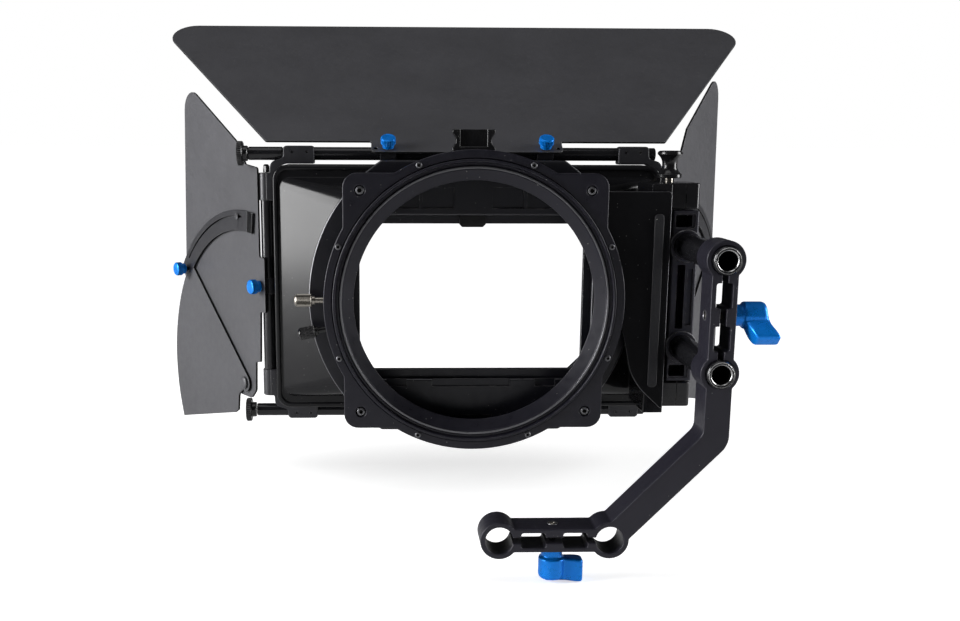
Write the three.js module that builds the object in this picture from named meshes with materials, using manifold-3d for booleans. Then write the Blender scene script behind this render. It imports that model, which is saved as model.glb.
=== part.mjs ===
// Swing-away matte box on a bent support arm, for 15 mm camera support rods.
//
// Units are millimetres. X runs to the right and Y runs forward, away from the camera operator,
// and Z runs up. Sizes below are measured from the optical axis (X = 0, Z = 0), with Y = 0 on the
// rear face of the ring plate. The whole model is then moved so that its origin lies on the rear
// face of the rod clamp's upper jaw, midway between the two support rod bores.

import * as THREE from 'three';
import { mergeVertices } from 'three/addons/utils/BufferGeometryUtils.js';
import Module from 'manifold-3d';

const wasm = await Module();
wasm.setup();

// ---------------------------------------------------------------- driving dimensions

const GAP = 0.3;                    // air between neighbouring pieces
const ROD_R = 7.5;                  // 15 mm support rod
const ROD_BORE_R = 7.62;
const ROD_WALL = 2;
const ROD_PITCH = 60;               // centre distance of a rod pair

const ARM_REAR = -52.9;             // rear face of the arm
const ARM_DEPTH = 19.3;
const ARM_MID = ARM_REAR + ARM_DEPTH / 2;
const ARM_X = 125.6;                // upright part of the arm
const ARM_HALF = 7;                 // half width of its bar
const ARM_BEND_Z = -66;
const BOSS_R = 10.4;
const CLAMP_X = 40.9;               // middle of the lower clamp
const CLAMP_Z = -122;
const JAW_SLIT = 3.2;
const JAW_HALF = 6.6;
const WINDOW = [8.6, 13.4];         // across and along the bar
const WINDOW_OFFSET = 11.4;         // from the clamp's middle
const CLAMP_SCREW_R = 1.9;
const CLAMP_HOLE_R = 2.2;
const CLAMP_HOLE_REACH = 9;         // half length of a clamp screw's hole
const CLAMP_SCREW_DEPTH = 14;       // how far a clamp screw reaches into the arm
const UPPER_LEVER_TURN = 0.8;       // radians, as the lever happens to stand
const ORIGIN_ABOVE_RODS = 4.3;      // from the rod axes up to the model's origin

const BLOCK_REAR = 25;              // rear face of the hinge block
const ROD_REAR = -56;
const ROD_FRONT = 40.4;
const SOCKET_R = 10;
const SOCKET_FRONT = 41;
const PIVOT_X = 118.7;              // upright hinge axis of the swing
const PIVOT_Y = 45;
const BLOCK_HALF_Z = 50.6;
const BLOCK_X = [117.4, 132.7];
const POCKET_X = [119, 128.6];      // one square pocket beyond each rod socket
const POCKET_Z = [41, 48];
const GROOVE_X = [121.2, 125.8];    // upright groove between the sockets
const GROOVE_HALF_Z = 18;
const POCKET_DEPTH = 12;            // of the pockets and the groove
const BARREL_R = 5.8;
const PIN_R = 2.5;
const PIN_HOLE_R = 2.68;
const PIN_ENGAGED = 8;              // depth of the pull pin in the hinge block
const PULL_KNOB_Z = 68.8;
const PIN_TOP = 69.5;
const KNUCKLE_Z = [51.5, 66.5];
const SPINE_X = [100.5, 112.2];
const HINGE_FRONT = PIVOT_Y + 8.5;

const PLATE_T = 5;                  // ring plate
const DISC_R = 85.5;
const EAR_X = 74.2;
const EAR_Z = 72.6;
const EAR_CORNER = 8;
const RING_R = 80.3;                // outer edge of the stepped lens ring
const RING_OPENING_R = 68.5;
const BASE_Y = [5.3, 19.7];
const BASE_R = 83;
const BASE_BORE_R = 72;
const BASE_EAR = [71.5, 70.2];
const BASE_EAR_CORNER = 7;
const BEARING_REAR = 10;            // where the base widens for the stage's spigot
const BEARING_R = 79;
const HINGE_PLATE_Y = [5.3, 9.3];
const LOCK_Y = 12.5;                // depth of the stage's lock screws
const LOCK_ANGLES = [180, 190.7];
const CORNER_SCREW = [64.6, 63];
const CORNER_SCREW_HOLE_R = 2.9;
const STAGE_Y = [20, 34];           // rotating filter stage
const STAGE_R = 95;
const STAGE_FLAT = 79;
const TRAY_SLOT_Y = [22.5, 29];
const TRAY_Y = [24.6, 28.7];
const TRAY_HALF_X = 75.6;
const TRAY_Z = [-57.4, 56];
const APERTURE = [65.5, 43];        // half sizes of the clear picture opening
const APERTURE_CHAMFER = 7;
const STAGE_APERTURE = [70, 48];
const HOOD_APERTURE = [72, 50];

const HOOD_REAR = 34.3;
const HOOD_RIM_REAR = 63;
const HOOD_FRONT = 85;
const HOOD_HALF = [119, 75.5];      // outer half sizes of the rim
const HOOD_NECK_HALF = [114.5, 68]; // where the slanted walls meet the rim
const HOOD_BACK_HALF = [76, 60];
const HOOD_WALL = 2.6;

const TUBE_R = 4;                   // tubes of the flag frame
const TUBE_HOLE_R = 4.15;
const TUBE_Y = 78;
const TUBE_TOP_Z = 82;
const TUBE_BOTTOM_Z = -80.5;
const TUBE_SIDE_X = 124;
const TOP_TUBE_X = [-113.4, 117.4];
const BOTTOM_TUBE_X = [-133, 117.4];
const SLEEVE_X = [-134.6, -113.7];  // sleeve on the top tube's left end
const SLEEVE_R = 4.1;
const SIDE_TUBE_HALF = 70;
const TUBE_NUT_Z = [70.5, 75.5];
const TUBE_NUT_R = 2.2;
const TOP_KNOB_X = -141.5;          // outer faces of the knobs on the tubes' ends
const BOTTOM_KNOB_X = -140;
const SOCKET_Z = [53.4, 70.3];      // height of the bracket's sleeve round an upright tube

const SEAT = 4.7;                   // flat of a flag collar, from its tube's axis
const COLLAR_R = 4.75;
const COLLAR_HALF = 5;              // half length of a collar along its tube
const FLAG_T = 1.5;
const FLAG_BASE = SEAT + 0.2;
const FRENCH_PITCH = 32;            // degrees above level
const FRENCH_KNOB_X = 48.5;
const FRENCH_KNOB_V = -3;           // its screws stand a little behind the tube's axis
const SIDE_YAW = { left: 35, right: 30.5 }; // degrees outward from straight ahead
const SIDE_SLIDE = { left: 0, right: 9 };   // how far up its tube each side flag is clamped
const WING_BASE = FLAG_BASE + FLAG_T + 0.3;
const RIVET = [20.5, -65.5];        // wing pivot on a side flag
const RIVET_HOLE_R = 2.4;
const WING_R = 104.8;
const ARC_R = [99, 112];            // guide arc of the wing
const PIN_TRACK_R = 108;
const PIN_ANGLE = 88.4;
const PIN_BASE = FLAG_BASE + FLAG_T + 0.1;
const WING_KNOB = [101, 2];         // from the tube, and in height
const SCREW_HOLE_R = 1.7;
const KNOB_SCREW = 4.6;             // from a knob's own origin to its screw's tip
const WING_SCREW = 3.4;             // the same for a wing's knob, whose screw is longer
const WING_KNOB_Z = WING_BASE - WING_SCREW + 0.3;

const FINE = 40;                    // facets round large circles
const MEDIUM = 28;
const SMALL = 16;

// ---------------------------------------------------------------- materials

const MATERIALS = {
  arm: material(0x222226, 0.45, 0.6),
  ring: material(0x1d1d20, 0.4, 0.5),
  stage: material(0x17171a, 0.5, 0.4),
  hood: material(0x101013, 0.18, 0.0),
  frame: material(0x19191c, 0.35, 0.5),
  flag: material(0x3a3b3f, 0.6, 0.5),
  blue: material(0x1673c4, 0.35, 0.7),
  nickel: material(0xb9b0a0, 0.3, 1.0),
  black: material(0x0c0c0e, 0.3, 0.3),
};

function material(color, roughness, metalness) {
  return new THREE.MeshStandardMaterial({ color, roughness, metalness });
}

// ---------------------------------------------------------------- solids

function solidOf(geometry) {
  const bare = geometry.clone();
  bare.deleteAttribute('normal');
  bare.deleteAttribute('uv');
  const merged = mergeVertices(bare, 1e-4);
  const vertProperties = Float32Array.from(merged.attributes.position.array);
  const triVerts = Uint32Array.from(merged.index.array);
  return new wasm.Manifold(new wasm.Mesh({ numProp: 3, vertProperties, triVerts }));
}

function geometryOf(solid) {
  const mesh = solid.getMesh();
  const geometry = new THREE.BufferGeometry();
  const position = new THREE.BufferAttribute(Float32Array.from(mesh.vertProperties), 3);
  geometry.setAttribute('position', position);
  geometry.setIndex(new THREE.BufferAttribute(Uint32Array.from(mesh.triVerts), 1));
  geometry.computeVertexNormals();
  return geometry;
}

function join(...geometries) {
  return geometryOf(geometries.map(solidOf).reduce((whole, piece) => whole.add(piece)));
}

function cut(geometry, ...tools) {
  const remove = (left, tool) => left.subtract(tool);
  return geometryOf(tools.map(solidOf).reduce(remove, solidOf(geometry)));
}

// A block between two corners.
function block(low, high) {
  const size = high.map((value, i) => value - low[i]);
  const middle = high.map((value, i) => (value + low[i]) / 2);
  return new THREE.BoxGeometry(...size).translate(...middle);
}

// A cylinder along 'x', 'y' or 'z' from one place on that axis to another.
function cylinder(axis, radius, from, to, [a, b], segments = MEDIUM) {
  const geometry = new THREE.CylinderGeometry(radius, radius, to - from, segments);
  const middle = (from + to) / 2;
  if (axis === 'x') return geometry.rotateZ(-Math.PI / 2).translate(middle, a, b);
  if (axis === 'z') return geometry.rotateX(Math.PI / 2).translate(a, b, middle);
  return geometry.translate(a, middle, b);
}

// A turned piece about the Y axis. The profile holds [radius, height] pairs.
function turned(profile, segments = SMALL) {
  const points = profile.map(([radius, height]) => new THREE.Vector2(radius, height));
  return new THREE.LatheGeometry(points, segments);
}

// A turned piece whose Y axis is laid along a direction, starting at a point.
function turnedAlong(profile, direction, start, segments = SMALL) {
  const up = new THREE.Vector3(0, 1, 0);
  const turn = new THREE.Quaternion().setFromUnitVectors(up, direction.clone().normalize());
  return turned(profile, segments).applyQuaternion(turn).translate(...start);
}

// A shape drawn in X and Z, given thickness along Y.
function plate(shape, from, to, curveSegments = 6) {
  const settings = { depth: to - from, bevelEnabled: false, curveSegments };
  return new THREE.ExtrudeGeometry(shape, settings).rotateX(Math.PI / 2).translate(0, to, 0);
}

function polygon(points) {
  return new THREE.Shape(points.map(([x, z]) => new THREE.Vector2(x, z)));
}

// A polygon whose corners are rounded. Each point is [x, z, radius].
function rounded(points) {
  const shape = new THREE.Shape();
  points.forEach(([x, z, radius = 0], i) => {
    const corner = new THREE.Vector2(x, z);
    const before = new THREE.Vector2(...points.at(i - 1).slice(0, 2)).sub(corner);
    const after = new THREE.Vector2(...points[(i + 1) % points.length].slice(0, 2)).sub(corner);
    const open = Math.abs(before.angleTo(after)) / 2;
    const reach = radius / Math.tan(open);
    const start = corner.clone().add(before.setLength(Math.max(reach, 1e-6)));
    const end = corner.clone().add(after.setLength(Math.max(reach, 1e-6)));
    if (i === 0) shape.moveTo(start.x, start.y);
    else shape.lineTo(start.x, start.y);
    if (radius > 0) shape.quadraticCurveTo(x, z, end.x, end.y);
  });
  shape.closePath();
  return shape;
}

function rectangle(halfX, halfZ, radius = 0) {
  return rounded([
    [-halfX, -halfZ, radius],
    [halfX, -halfZ, radius],
    [halfX, halfZ, radius],
    [-halfX, halfZ, radius],
  ]);
}

function chamfered(halfX, halfZ, chamfer) {
  const right = [
    [halfX - chamfer, -halfZ],
    [halfX, -halfZ + chamfer],
    [halfX, halfZ - chamfer],
    [halfX - chamfer, halfZ],
  ];
  return polygon([...right, ...right.map(([x, z]) => [-x, -z])]);
}

// A rectangular frustum along Y, made by opening out the front of a box.
function frustum(rearHalf, frontHalf, rearY, frontY) {
  const geometry = new THREE.BoxGeometry(2, 2, 2);
  const position = geometry.attributes.position;
  for (let i = 0; i < position.count; i += 1) {
    const front = position.getY(i) > 0;
    const half = front ? frontHalf : rearHalf;
    const y = front ? frontY : rearY;
    position.setXYZ(i, position.getX(i) * half[0], y, position.getZ(i) * half[1]);
  }
  return geometry;
}

const polar = (centre, radius, degrees) => {
  const angle = THREE.MathUtils.degToRad(degrees);
  return [centre[0] + radius * Math.cos(angle), centre[1] + radius * Math.sin(angle)];
};

function arcPoints(centre, radius, from, to, steps) {
  const points = [];
  for (let i = 0; i <= steps; i += 1) {
    points.push(polar(centre, radius, from + ((to - from) * i) / steps));
  }
  return points;
}

// ---------------------------------------------------------------- support arm

// The bar's outline follows a bent centre line at a constant width.
function armOutline() {
  const clampRight = CLAMP_X + ROD_PITCH / 2;
  const mitre = ARM_HALF * Math.tan(Math.PI / 8);
  const slant = ARM_HALF / Math.SQRT2;
  return rounded([
    [ARM_X - ARM_HALF, ROD_PITCH / 2],
    [ARM_X + ARM_HALF, ROD_PITCH / 2],
    [ARM_X + ARM_HALF, ARM_BEND_Z - mitre, 10],
    [clampRight + slant, CLAMP_Z - slant],
    [clampRight - slant, CLAMP_Z + slant],
    [ARM_X - ARM_HALF, ARM_BEND_Z + mitre, 6],
  ]);
}

function clampWindow(x, z, upright) {
  const [across, along] = upright ? WINDOW : [WINDOW[1], WINDOW[0]];
  const outline = rectangle(across / 2, along / 2, 2);
  return plate(outline, ARM_REAR - 1, ARM_REAR + ARM_DEPTH + 1, 2).translate(x, 0, z);
}

function bentArm() {
  const front = ARM_REAR + ARM_DEPTH;
  const half = ROD_PITCH / 2;
  const [clampLeft, clampRight] = [CLAMP_X - half, CLAMP_X + half];
  const bores = [[ARM_X, half], [ARM_X, -half], [clampLeft, CLAMP_Z], [clampRight, CLAMP_Z]];
  const across = (halfHeight, air) => block(
    [clampLeft, ARM_REAR - air, CLAMP_Z - halfHeight],
    [clampRight, front + air, CLAMP_Z + halfHeight],
  );
  const bosses = bores.map((place) => cylinder('y', BOSS_R, ARM_REAR, front, place));
  const body = join(plate(armOutline(), ARM_REAR, front), across(JAW_HALF, 0), ...bosses);
  const slitHalf = JAW_SLIT / 2;
  const [holeLow, holeHigh] = [-CLAMP_HOLE_REACH, CLAMP_HOLE_REACH];
  return cut(
    body,
    ...bores.map((place) => cylinder('y', ROD_BORE_R, ARM_REAR - 1, front + 1, place)),
    clampWindow(ARM_X, WINDOW_OFFSET, true),
    clampWindow(ARM_X, -WINDOW_OFFSET, true),
    clampWindow(CLAMP_X - WINDOW_OFFSET, CLAMP_Z, false),
    clampWindow(CLAMP_X + WINDOW_OFFSET, CLAMP_Z, false),
    block([ARM_X - slitHalf, ARM_REAR - 1, -half], [ARM_X + slitHalf, front + 1, half]),
    across(slitHalf, 1),
    cylinder('x', CLAMP_HOLE_R, ARM_X + holeLow, ARM_X + holeHigh, [ARM_MID, 0], SMALL),
    cylinder('z', CLAMP_HOLE_R, CLAMP_Z + holeLow, CLAMP_Z + holeHigh, [CLAMP_X, ARM_MID], SMALL),
  );
}

// A clamp screw lies along +Y from its free end, and its lever follows it.
const clampScrew = () => turned([[0, 0], [CLAMP_SCREW_R, 0], [CLAMP_SCREW_R, 19], [0, 19]], 12);

// The lever's hub and its swept thumb wing, turning about Y.
function clampLever() {
  const profile = [[0, 0], [5.8, 0], [5.8, 4.4], [7.3, 5], [7.3, 16.6], [6.3, 17.6], [0, 17.6]];
  const wing = rounded([[-5, -4.6], [12, -5, 2], [17.6, -4.6, 3], [17.6, 4, 3], [9, 4.6, 2], [-5, 4.6]]);
  const body = join(turned(profile, 24), plate(wing, 5, 19.6, 3));
  return cut(body, cylinder('y', CLAMP_HOLE_R, -1, 5.4, [0, 0], 12));
}

// ---------------------------------------------------------------- rods and hinge block

function supportRod() {
  return cut(
    cylinder('y', ROD_R, ROD_REAR, ROD_FRONT, [0, 0], 32),
    cylinder('y', ROD_R - ROD_WALL, ROD_REAR - 1, ROD_FRONT + 1, [0, 0], MEDIUM),
  );
}

// A narrow upright block with a round barrel at its front left corner for the hinge pins.
function hingeBlock() {
  const half = ROD_PITCH / 2;
  const sockets = [half, -half];
  const pivot = [PIVOT_X, PIVOT_Y];
  const body = join(
    block([BLOCK_X[0], BLOCK_REAR, -BLOCK_HALF_Z], [BLOCK_X[1], PIVOT_Y, BLOCK_HALF_Z]),
    cylinder('z', BARREL_R, -BLOCK_HALF_Z, BLOCK_HALF_Z, pivot, 24),
    ...sockets.map((z) => cylinder('y', SOCKET_R, BLOCK_REAR, SOCKET_FRONT, [ARM_X, z], 32)),
  );
  const pocket = (left, right, bottom, top) => block(
    [left, BLOCK_REAR - 1, bottom],
    [right, BLOCK_REAR + POCKET_DEPTH, top],
  );
  const holeEnd = BLOCK_HALF_Z - PIN_ENGAGED - 1;
  return cut(
    body,
    ...sockets.map((z) => cylinder('y', ROD_BORE_R, BLOCK_REAR - 1, SOCKET_FRONT + 1, [ARM_X, z], 32)),
    pocket(...POCKET_X, ...POCKET_Z),
    pocket(...POCKET_X, -POCKET_Z[1], -POCKET_Z[0]),
    pocket(...GROOVE_X, -GROOVE_HALF_Z, GROOVE_HALF_Z),
    cylinder('z', PIN_HOLE_R, holeEnd, BLOCK_HALF_Z + 1, pivot, 20),
    cylinder('z', PIN_HOLE_R, -BLOCK_HALF_Z - 1, -holeEnd, pivot, 20),
  );
}

// ---------------------------------------------------------------- hinge side of the box

// The spine stands beside the hood's slanted wall, and an arm reaches over each end of the block.
function hingeBracket() {
  const front = HINGE_FRONT;
  const [left, right] = SPINE_X;
  const rear = HINGE_PLATE_Y[1] + GAP;
  const section = [[left, rear], [right, rear], [right, front], [left + 6.6, front], [left, front - 7]];
  const settings = { depth: 2 * KNUCKLE_Z[1], bevelEnabled: false };
  const spine = new THREE.ExtrudeGeometry(polygon(section), settings).translate(0, 0, -KNUCKLE_Z[1]);
  const armRear = BLOCK_REAR + 0.4;
  const armLeft = left + 6;
  return cut(
    join(
      spine,
      block([armLeft, armRear, KNUCKLE_Z[0]], [BLOCK_X[1], front, KNUCKLE_Z[1]]),
      block([armLeft, armRear, -KNUCKLE_Z[1]], [BLOCK_X[1], front, -KNUCKLE_Z[0]]),
    ),
    cylinder('z', PIN_HOLE_R, -KNUCKLE_Z[1] - 1, KNUCKLE_Z[1] + 1, [PIVOT_X, PIVOT_Y], 20),
  );
}

// A flat plate that joins the ring plate to the hinge, cut away round the light path.
function hingePlate() {
  const outline = rounded([
    [48, 62.5],
    [111, 62.5, 2],
    [111, -62.5],
    [109.4, -62.5],
    [92, -46, 40],
    [84, -6, 20],
    [48, -6],
  ]);
  return cut(plate(outline, ...HINGE_PLATE_Y), cylinder('y', RING_R, 0, 20, [0, 0], FINE));
}

const hingePin = (from, to) => cylinder('z', PIN_R, from, to, [PIVOT_X, PIVOT_Y], 20);

// The sprung upper pin slides in the top knuckle, and the fixed lower pin stays in the bottom one.
const pullPin = () => hingePin(BLOCK_HALF_Z - PIN_ENGAGED, PIN_TOP);

const lowerPin = () => hingePin(-KNUCKLE_Z[1], PIN_ENGAGED - BLOCK_HALF_Z);

function pullKnob() {
  const profile = [
    [0, 0], [7.3, 0], [7.3, 1.6], [4.3, 5.5], [4.3, 10], [7.3, 14], [7.3, 15.4], [6.4, 16], [0, 16],
  ];
  const knob = turnedAlong(profile, new THREE.Vector3(0, 0, 1), [PIVOT_X, PIVOT_Y, PULL_KNOB_Z], 24);
  return cut(knob, cylinder('z', PIN_R + GAP, PULL_KNOB_Z - 1, PIN_TOP + GAP, [PIVOT_X, PIVOT_Y], 20));
}

// ---------------------------------------------------------------- ring plate and filter stages

function earedDisc(radius, halfX, halfZ, from, to, corner) {
  return join(
    cylinder('y', radius, from, to, [0, 0], FINE),
    plate(rectangle(halfX, halfZ, corner), from, to, 3),
  );
}

function ringPlate() {
  return cut(
    earedDisc(DISC_R, EAR_X, EAR_Z, 0, PLATE_T, EAR_CORNER),
    cylinder('y', RING_R + GAP, -1, PLATE_T + 1, [0, 0], FINE),
    ...cornerScrewPlaces().map((place) => cylinder('y', CORNER_SCREW_HOLE_R, -1, PLATE_T + 1, place, 12)),
  );
}

const cornerSigns = [[-1, 1], [1, 1], [-1, -1], [1, -1]];

const cornerScrewPlaces = () => cornerSigns.map(([x, z]) => [x * CORNER_SCREW[0], z * CORNER_SCREW[1]]);

const cornerScrew = () => turned([[0, 0.4], [2.5, 0.4], [2.5, 4.6], [0, 4.6]], 12);

function lensRing() {
  const profile = [
    [RING_R, -2], [RING_R, PLATE_T - 0.1], [RING_OPENING_R, PLATE_T - 0.1], [RING_OPENING_R, 4],
    [75, 0], [76.1, -0.8], [77.2, 0.6], [78, 0.6], [78, -2], [RING_R, -2],
  ];
  return turned(profile, FINE);
}

// The lock screws stand radially in the base, and bear on the spigot of the rotating stage.
function lockScrew(profile, degrees, tip, segments) {
  const [x, z] = polar([0, 0], 1, degrees);
  return turnedAlong(profile, new THREE.Vector3(x, 0, z), [tip * x, LOCK_Y, tip * z], segments);
}

function stageBase() {
  const hole = [[0, 0], [2.3, 0], [2.3, 9], [0, 9]];
  return cut(
    earedDisc(BASE_R, ...BASE_EAR, ...BASE_Y, BASE_EAR_CORNER),
    cylinder('y', BASE_BORE_R, 0, 30, [0, 0], FINE),
    cylinder('y', BEARING_R + 0.4, BEARING_REAR, 30, [0, 0], FINE),
    block([47.5, 0, -7], [120, HINGE_PLATE_Y[1] + GAP, 64]),
    block([76, 0, -64], [120, HINGE_PLATE_Y[1] + GAP, 64]),
    ...LOCK_ANGLES.map((degrees) => lockScrew(hole, degrees, 78, 12)),
  );
}

function rotatingStage() {
  const disc = new THREE.Shape();
  const flatAngle = Math.asin(STAGE_FLAT / STAGE_R);
  disc.absarc(0, 0, STAGE_R, -flatAngle, flatAngle);
  disc.absarc(0, 0, STAGE_R, Math.PI - flatAngle, Math.PI + flatAngle);
  const spigot = cut(
    cylinder('y', BEARING_R, 10.4, STAGE_Y[0] + 1, [0, 0], FINE),
    cylinder('y', BEARING_R - 3, 9, STAGE_Y[0] + 2, [0, 0], FINE),
  );
  const slotX = TRAY_HALF_X + GAP;
  return cut(
    join(plate(disc, ...STAGE_Y, 12), spigot),
    plate(chamfered(...STAGE_APERTURE, APERTURE_CHAMFER), STAGE_Y[0] - 1, STAGE_Y[1] + 1),
    block([-slotX, TRAY_SLOT_Y[0], TRAY_Z[0] - GAP], [slotX, TRAY_SLOT_Y[1], STAGE_R]),
  );
}

function filterTray() {
  const frame = block([-TRAY_HALF_X, TRAY_Y[0], TRAY_Z[0]], [TRAY_HALF_X, TRAY_Y[1], TRAY_Z[1]]);
  return cut(frame, plate(chamfered(...APERTURE, APERTURE_CHAMFER), 20, 32));
}

// A tongue on the tray's rear face, with a waisted grip standing above the stage.
function trayPull() {
  const tongue = rounded([
    [-7.7, 42.8], [-6, 41.1], [6, 41.1], [7.7, 42.8], [7.7, 86], [-7.7, 86],
  ]);
  const grip = rounded([
    [-12.2, 84], [12.2, 84], [12.2, 86, 1], [9.4, 90, 3], [12.2, 94.6, 1], [12.2, 96.4],
    [-12.2, 96.4], [-12.2, 94.6, 1], [-9.4, 90, 3], [-12.2, 86, 1],
  ]);
  const gripSolid = plate(grip, 20.4, 28, 3);
  const recess = block([-8, 19, 86.5], [8, 22.2, 97]);
  return join(plate(tongue, TRAY_SLOT_Y[0] + GAP, TRAY_Y[0] - GAP), cut(gripSolid, recess));
}

function stageLockScrew(degrees) {
  const profile = [[0, 0], [1.8, 0], [1.8, 12.8], [3.65, 13], [3.65, 22.6], [3, 23.2], [0, 23.2]];
  return lockScrew(profile, degrees, BEARING_R + 0.6, 16);
}

// ---------------------------------------------------------------- hood

function hood() {
  const within = (halves) => halves.map((half) => half - HOOD_WALL);
  const meeting = HOOD_RIM_REAR + 1;
  const shell = frustum(HOOD_BACK_HALF, HOOD_NECK_HALF, HOOD_REAR, meeting);
  const hollow = frustum(within(HOOD_BACK_HALF), within(HOOD_NECK_HALF), HOOD_REAR + HOOD_WALL, meeting);
  const rim = plate(rectangle(...HOOD_HALF, 9), HOOD_RIM_REAR, HOOD_FRONT, 4);
  const mouth = plate(rectangle(...within(HOOD_NECK_HALF), 6), meeting, HOOD_FRONT + 1, 4);
  const opening = plate(chamfered(...HOOD_APERTURE, APERTURE_CHAMFER), HOOD_REAR - 1, HOOD_REAR + 5);
  return cut(join(shell, rim), hollow, mouth, opening);
}

// ---------------------------------------------------------------- flag frame

const topTube = () => cylinder('x', TUBE_R, ...TOP_TUBE_X, [TUBE_Y, TUBE_TOP_Z], 20);
const bottomTube = () => cylinder('x', TUBE_R, ...BOTTOM_TUBE_X, [TUBE_Y, TUBE_BOTTOM_Z], 20);
const topSleeve = () => cylinder('x', SLEEVE_R, ...SLEEVE_X, [TUBE_Y, TUBE_TOP_Z], 20);
const uprightAt = (side) => [side * TUBE_SIDE_X, TUBE_Y];
const sideTube = (side) => cylinder('z', TUBE_R, -SIDE_TUBE_HALF, SIDE_TUBE_HALF, uprightAt(side), 20);
const tubeNut = (side) => cylinder('z', TUBE_NUT_R, ...TUBE_NUT_Z, uprightAt(side), 12);

// A knurled disc with a narrower neck, along +Y.
const endKnob = () => turned([[0, 0], [7.5, 0], [7.5, 3.5], [4.7, 3.6], [4.7, 6.4], [0, 6.4]], 24);

// An elbow that hugs one corner of the rim, bored for a level tube and sleeved for an upright one.
function cornerBracket(side, tubeZ) {
  const up = Math.sign(tubeZ);
  const inside = HOOD_HALF[1] + 0.4;
  const outside = Math.abs(tubeZ) + 4.8;
  const besideRim = HOOD_HALF[0] + 0.4;
  const outline = [
    [94, inside], [113, inside, 5], [besideRim, 68, 3], [besideRim, SOCKET_Z[0]], [TUBE_SIDE_X, SOCKET_Z[0]],
    [TUBE_SIDE_X, SOCKET_Z[1]], [121.4, SOCKET_Z[1]], [121.2, inside + 2, 4], [113, inside + 4],
    [113, outside], [94, outside],
  ].map(([x, z, radius = 0]) => [side * x, up * z, radius]);
  const ordered = (...ends) => ends.sort((a, b) => a - b);
  const upright = (radius, from, to) => {
    return cylinder('z', radius, ...ordered(up * from, up * to), [side * TUBE_SIDE_X, TUBE_Y], 20);
  };
  return cut(
    join(plate(rounded(outline), TUBE_Y - 5, TUBE_Y + 5, 3), upright(COLLAR_R, ...SOCKET_Z)),
    cylinder('x', TUBE_HOLE_R, ...ordered(side * 90, side * 130), [TUBE_Y, tubeZ], 20),
    upright(TUBE_HOLE_R, SOCKET_Z[0] - 3, SOCKET_Z[1]),
    plate(rectangle(HOOD_HALF[0] + GAP, HOOD_HALF[1] + GAP, 8), TUBE_Y - 6, TUBE_Y + 6, 3),
  );
}

// ---------------------------------------------------------------- flags

// Flags are drawn with their tube along local X, the sheet reaching out along +Y, and its normal +Z.
function sheet(shape, base, curveSegments = 5) {
  const settings = { depth: FLAG_T, bevelEnabled: false, curveSegments };
  return new THREE.ExtrudeGeometry(shape, settings).translate(0, 0, base);
}

function frenchFlag() {
  const right = [[59, -7.6, 3], [59, 4.4, 1], [124, 4.4, 2], [212, 156.5, 20]];
  const left = right.map(([x, y, radius]) => [-x, y, radius]).reverse();
  const places = [-1, 1].map((side) => [side * FRENCH_KNOB_X, FRENCH_KNOB_V]);
  return cut(
    sheet(rounded([...right, ...left]), FLAG_BASE),
    ...places.map((place) => hole(SCREW_HOLE_R, place)),
  );
}

// A thin collar on a flag's tube, with a flat seat for the sheet. Its tube runs along X.
function flagCollar(screwV = 0) {
  return cut(
    join(
      cylinder('x', COLLAR_R, -COLLAR_HALF, COLLAR_HALF, [0, 0], 24),
      block([-COLLAR_HALF, Math.min(-4, screwV - 2.5), 0], [COLLAR_HALF, 4, SEAT]),
    ),
    cylinder('x', TUBE_HOLE_R, -COLLAR_HALF - 1, COLLAR_HALF + 1, [0, 0], 20),
    hole(SCREW_HOLE_R, [0, screwV]),
  );
}

// A thumb knob with its screw, along local +Z.
function thumbKnob(tip = KNOB_SCREW) {
  const profile = [
    [0, tip], [1.4, tip], [1.4, 6.8], [3.6, 7.2], [3.6, 9.2], [4.6, 9.6], [4.6, 13], [4, 13.8], [0, 13.8],
  ];
  return turned(profile, 16).rotateX(Math.PI / 2);
}

// Side pieces are drawn with [distance from the tube, height] pairs. The sign says whether the
// group's local X points up (+1, left side) or down (-1, right side).
const onSide = (up) => ([s, z, radius = 0]) => [up * z, s, radius];

function hole(radius, [x, y]) {
  return cylinder('z', radius, 0, 20, [x, y], 12);
}

function sideFlag(up) {
  const outline = [
    [8, -50, 1], [2, -49, 1], [0.4, -16.5, 1.5], [-6.2, -16.5, 1.5], [-6.2, 18, 1.5], [0.4, 18, 1.5],
    [0.4, 73.5, 2], [15.7, 75.4, 1], [26.3, 89.1, 2], [99.5, 129, 10],
    [107, 4, 5], [29, -75, 2], [15, -75, 5], [9, -69, 3],
  ];
  return cut(
    sheet(rounded(outline.map(onSide(up))), FLAG_BASE),
    hole(SCREW_HOLE_R, [0, 0]),
    hole(RIVET_HOLE_R, onSide(up)(RIVET)),
  );
}

// A sector about the rivet, whose arm curves back over the upper sheet as a guide.
function wingOutline() {
  const [lowest, armStart, armEnd] = [-23.5, 40, 98.5];
  return [
    ...arcPoints(RIVET, 6, 300, 130, 6),
    ...arcPoints(RIVET, ARC_R[0], armStart, armEnd, 14),
    ...arcPoints(RIVET, ARC_R[1], armEnd, armStart, 14),
    ...arcPoints(RIVET, WING_R, armStart - 1, lowest, 12),
    [35.5, -88.5],
    [31, -86],
    [29.5, -75],
  ];
}

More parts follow.
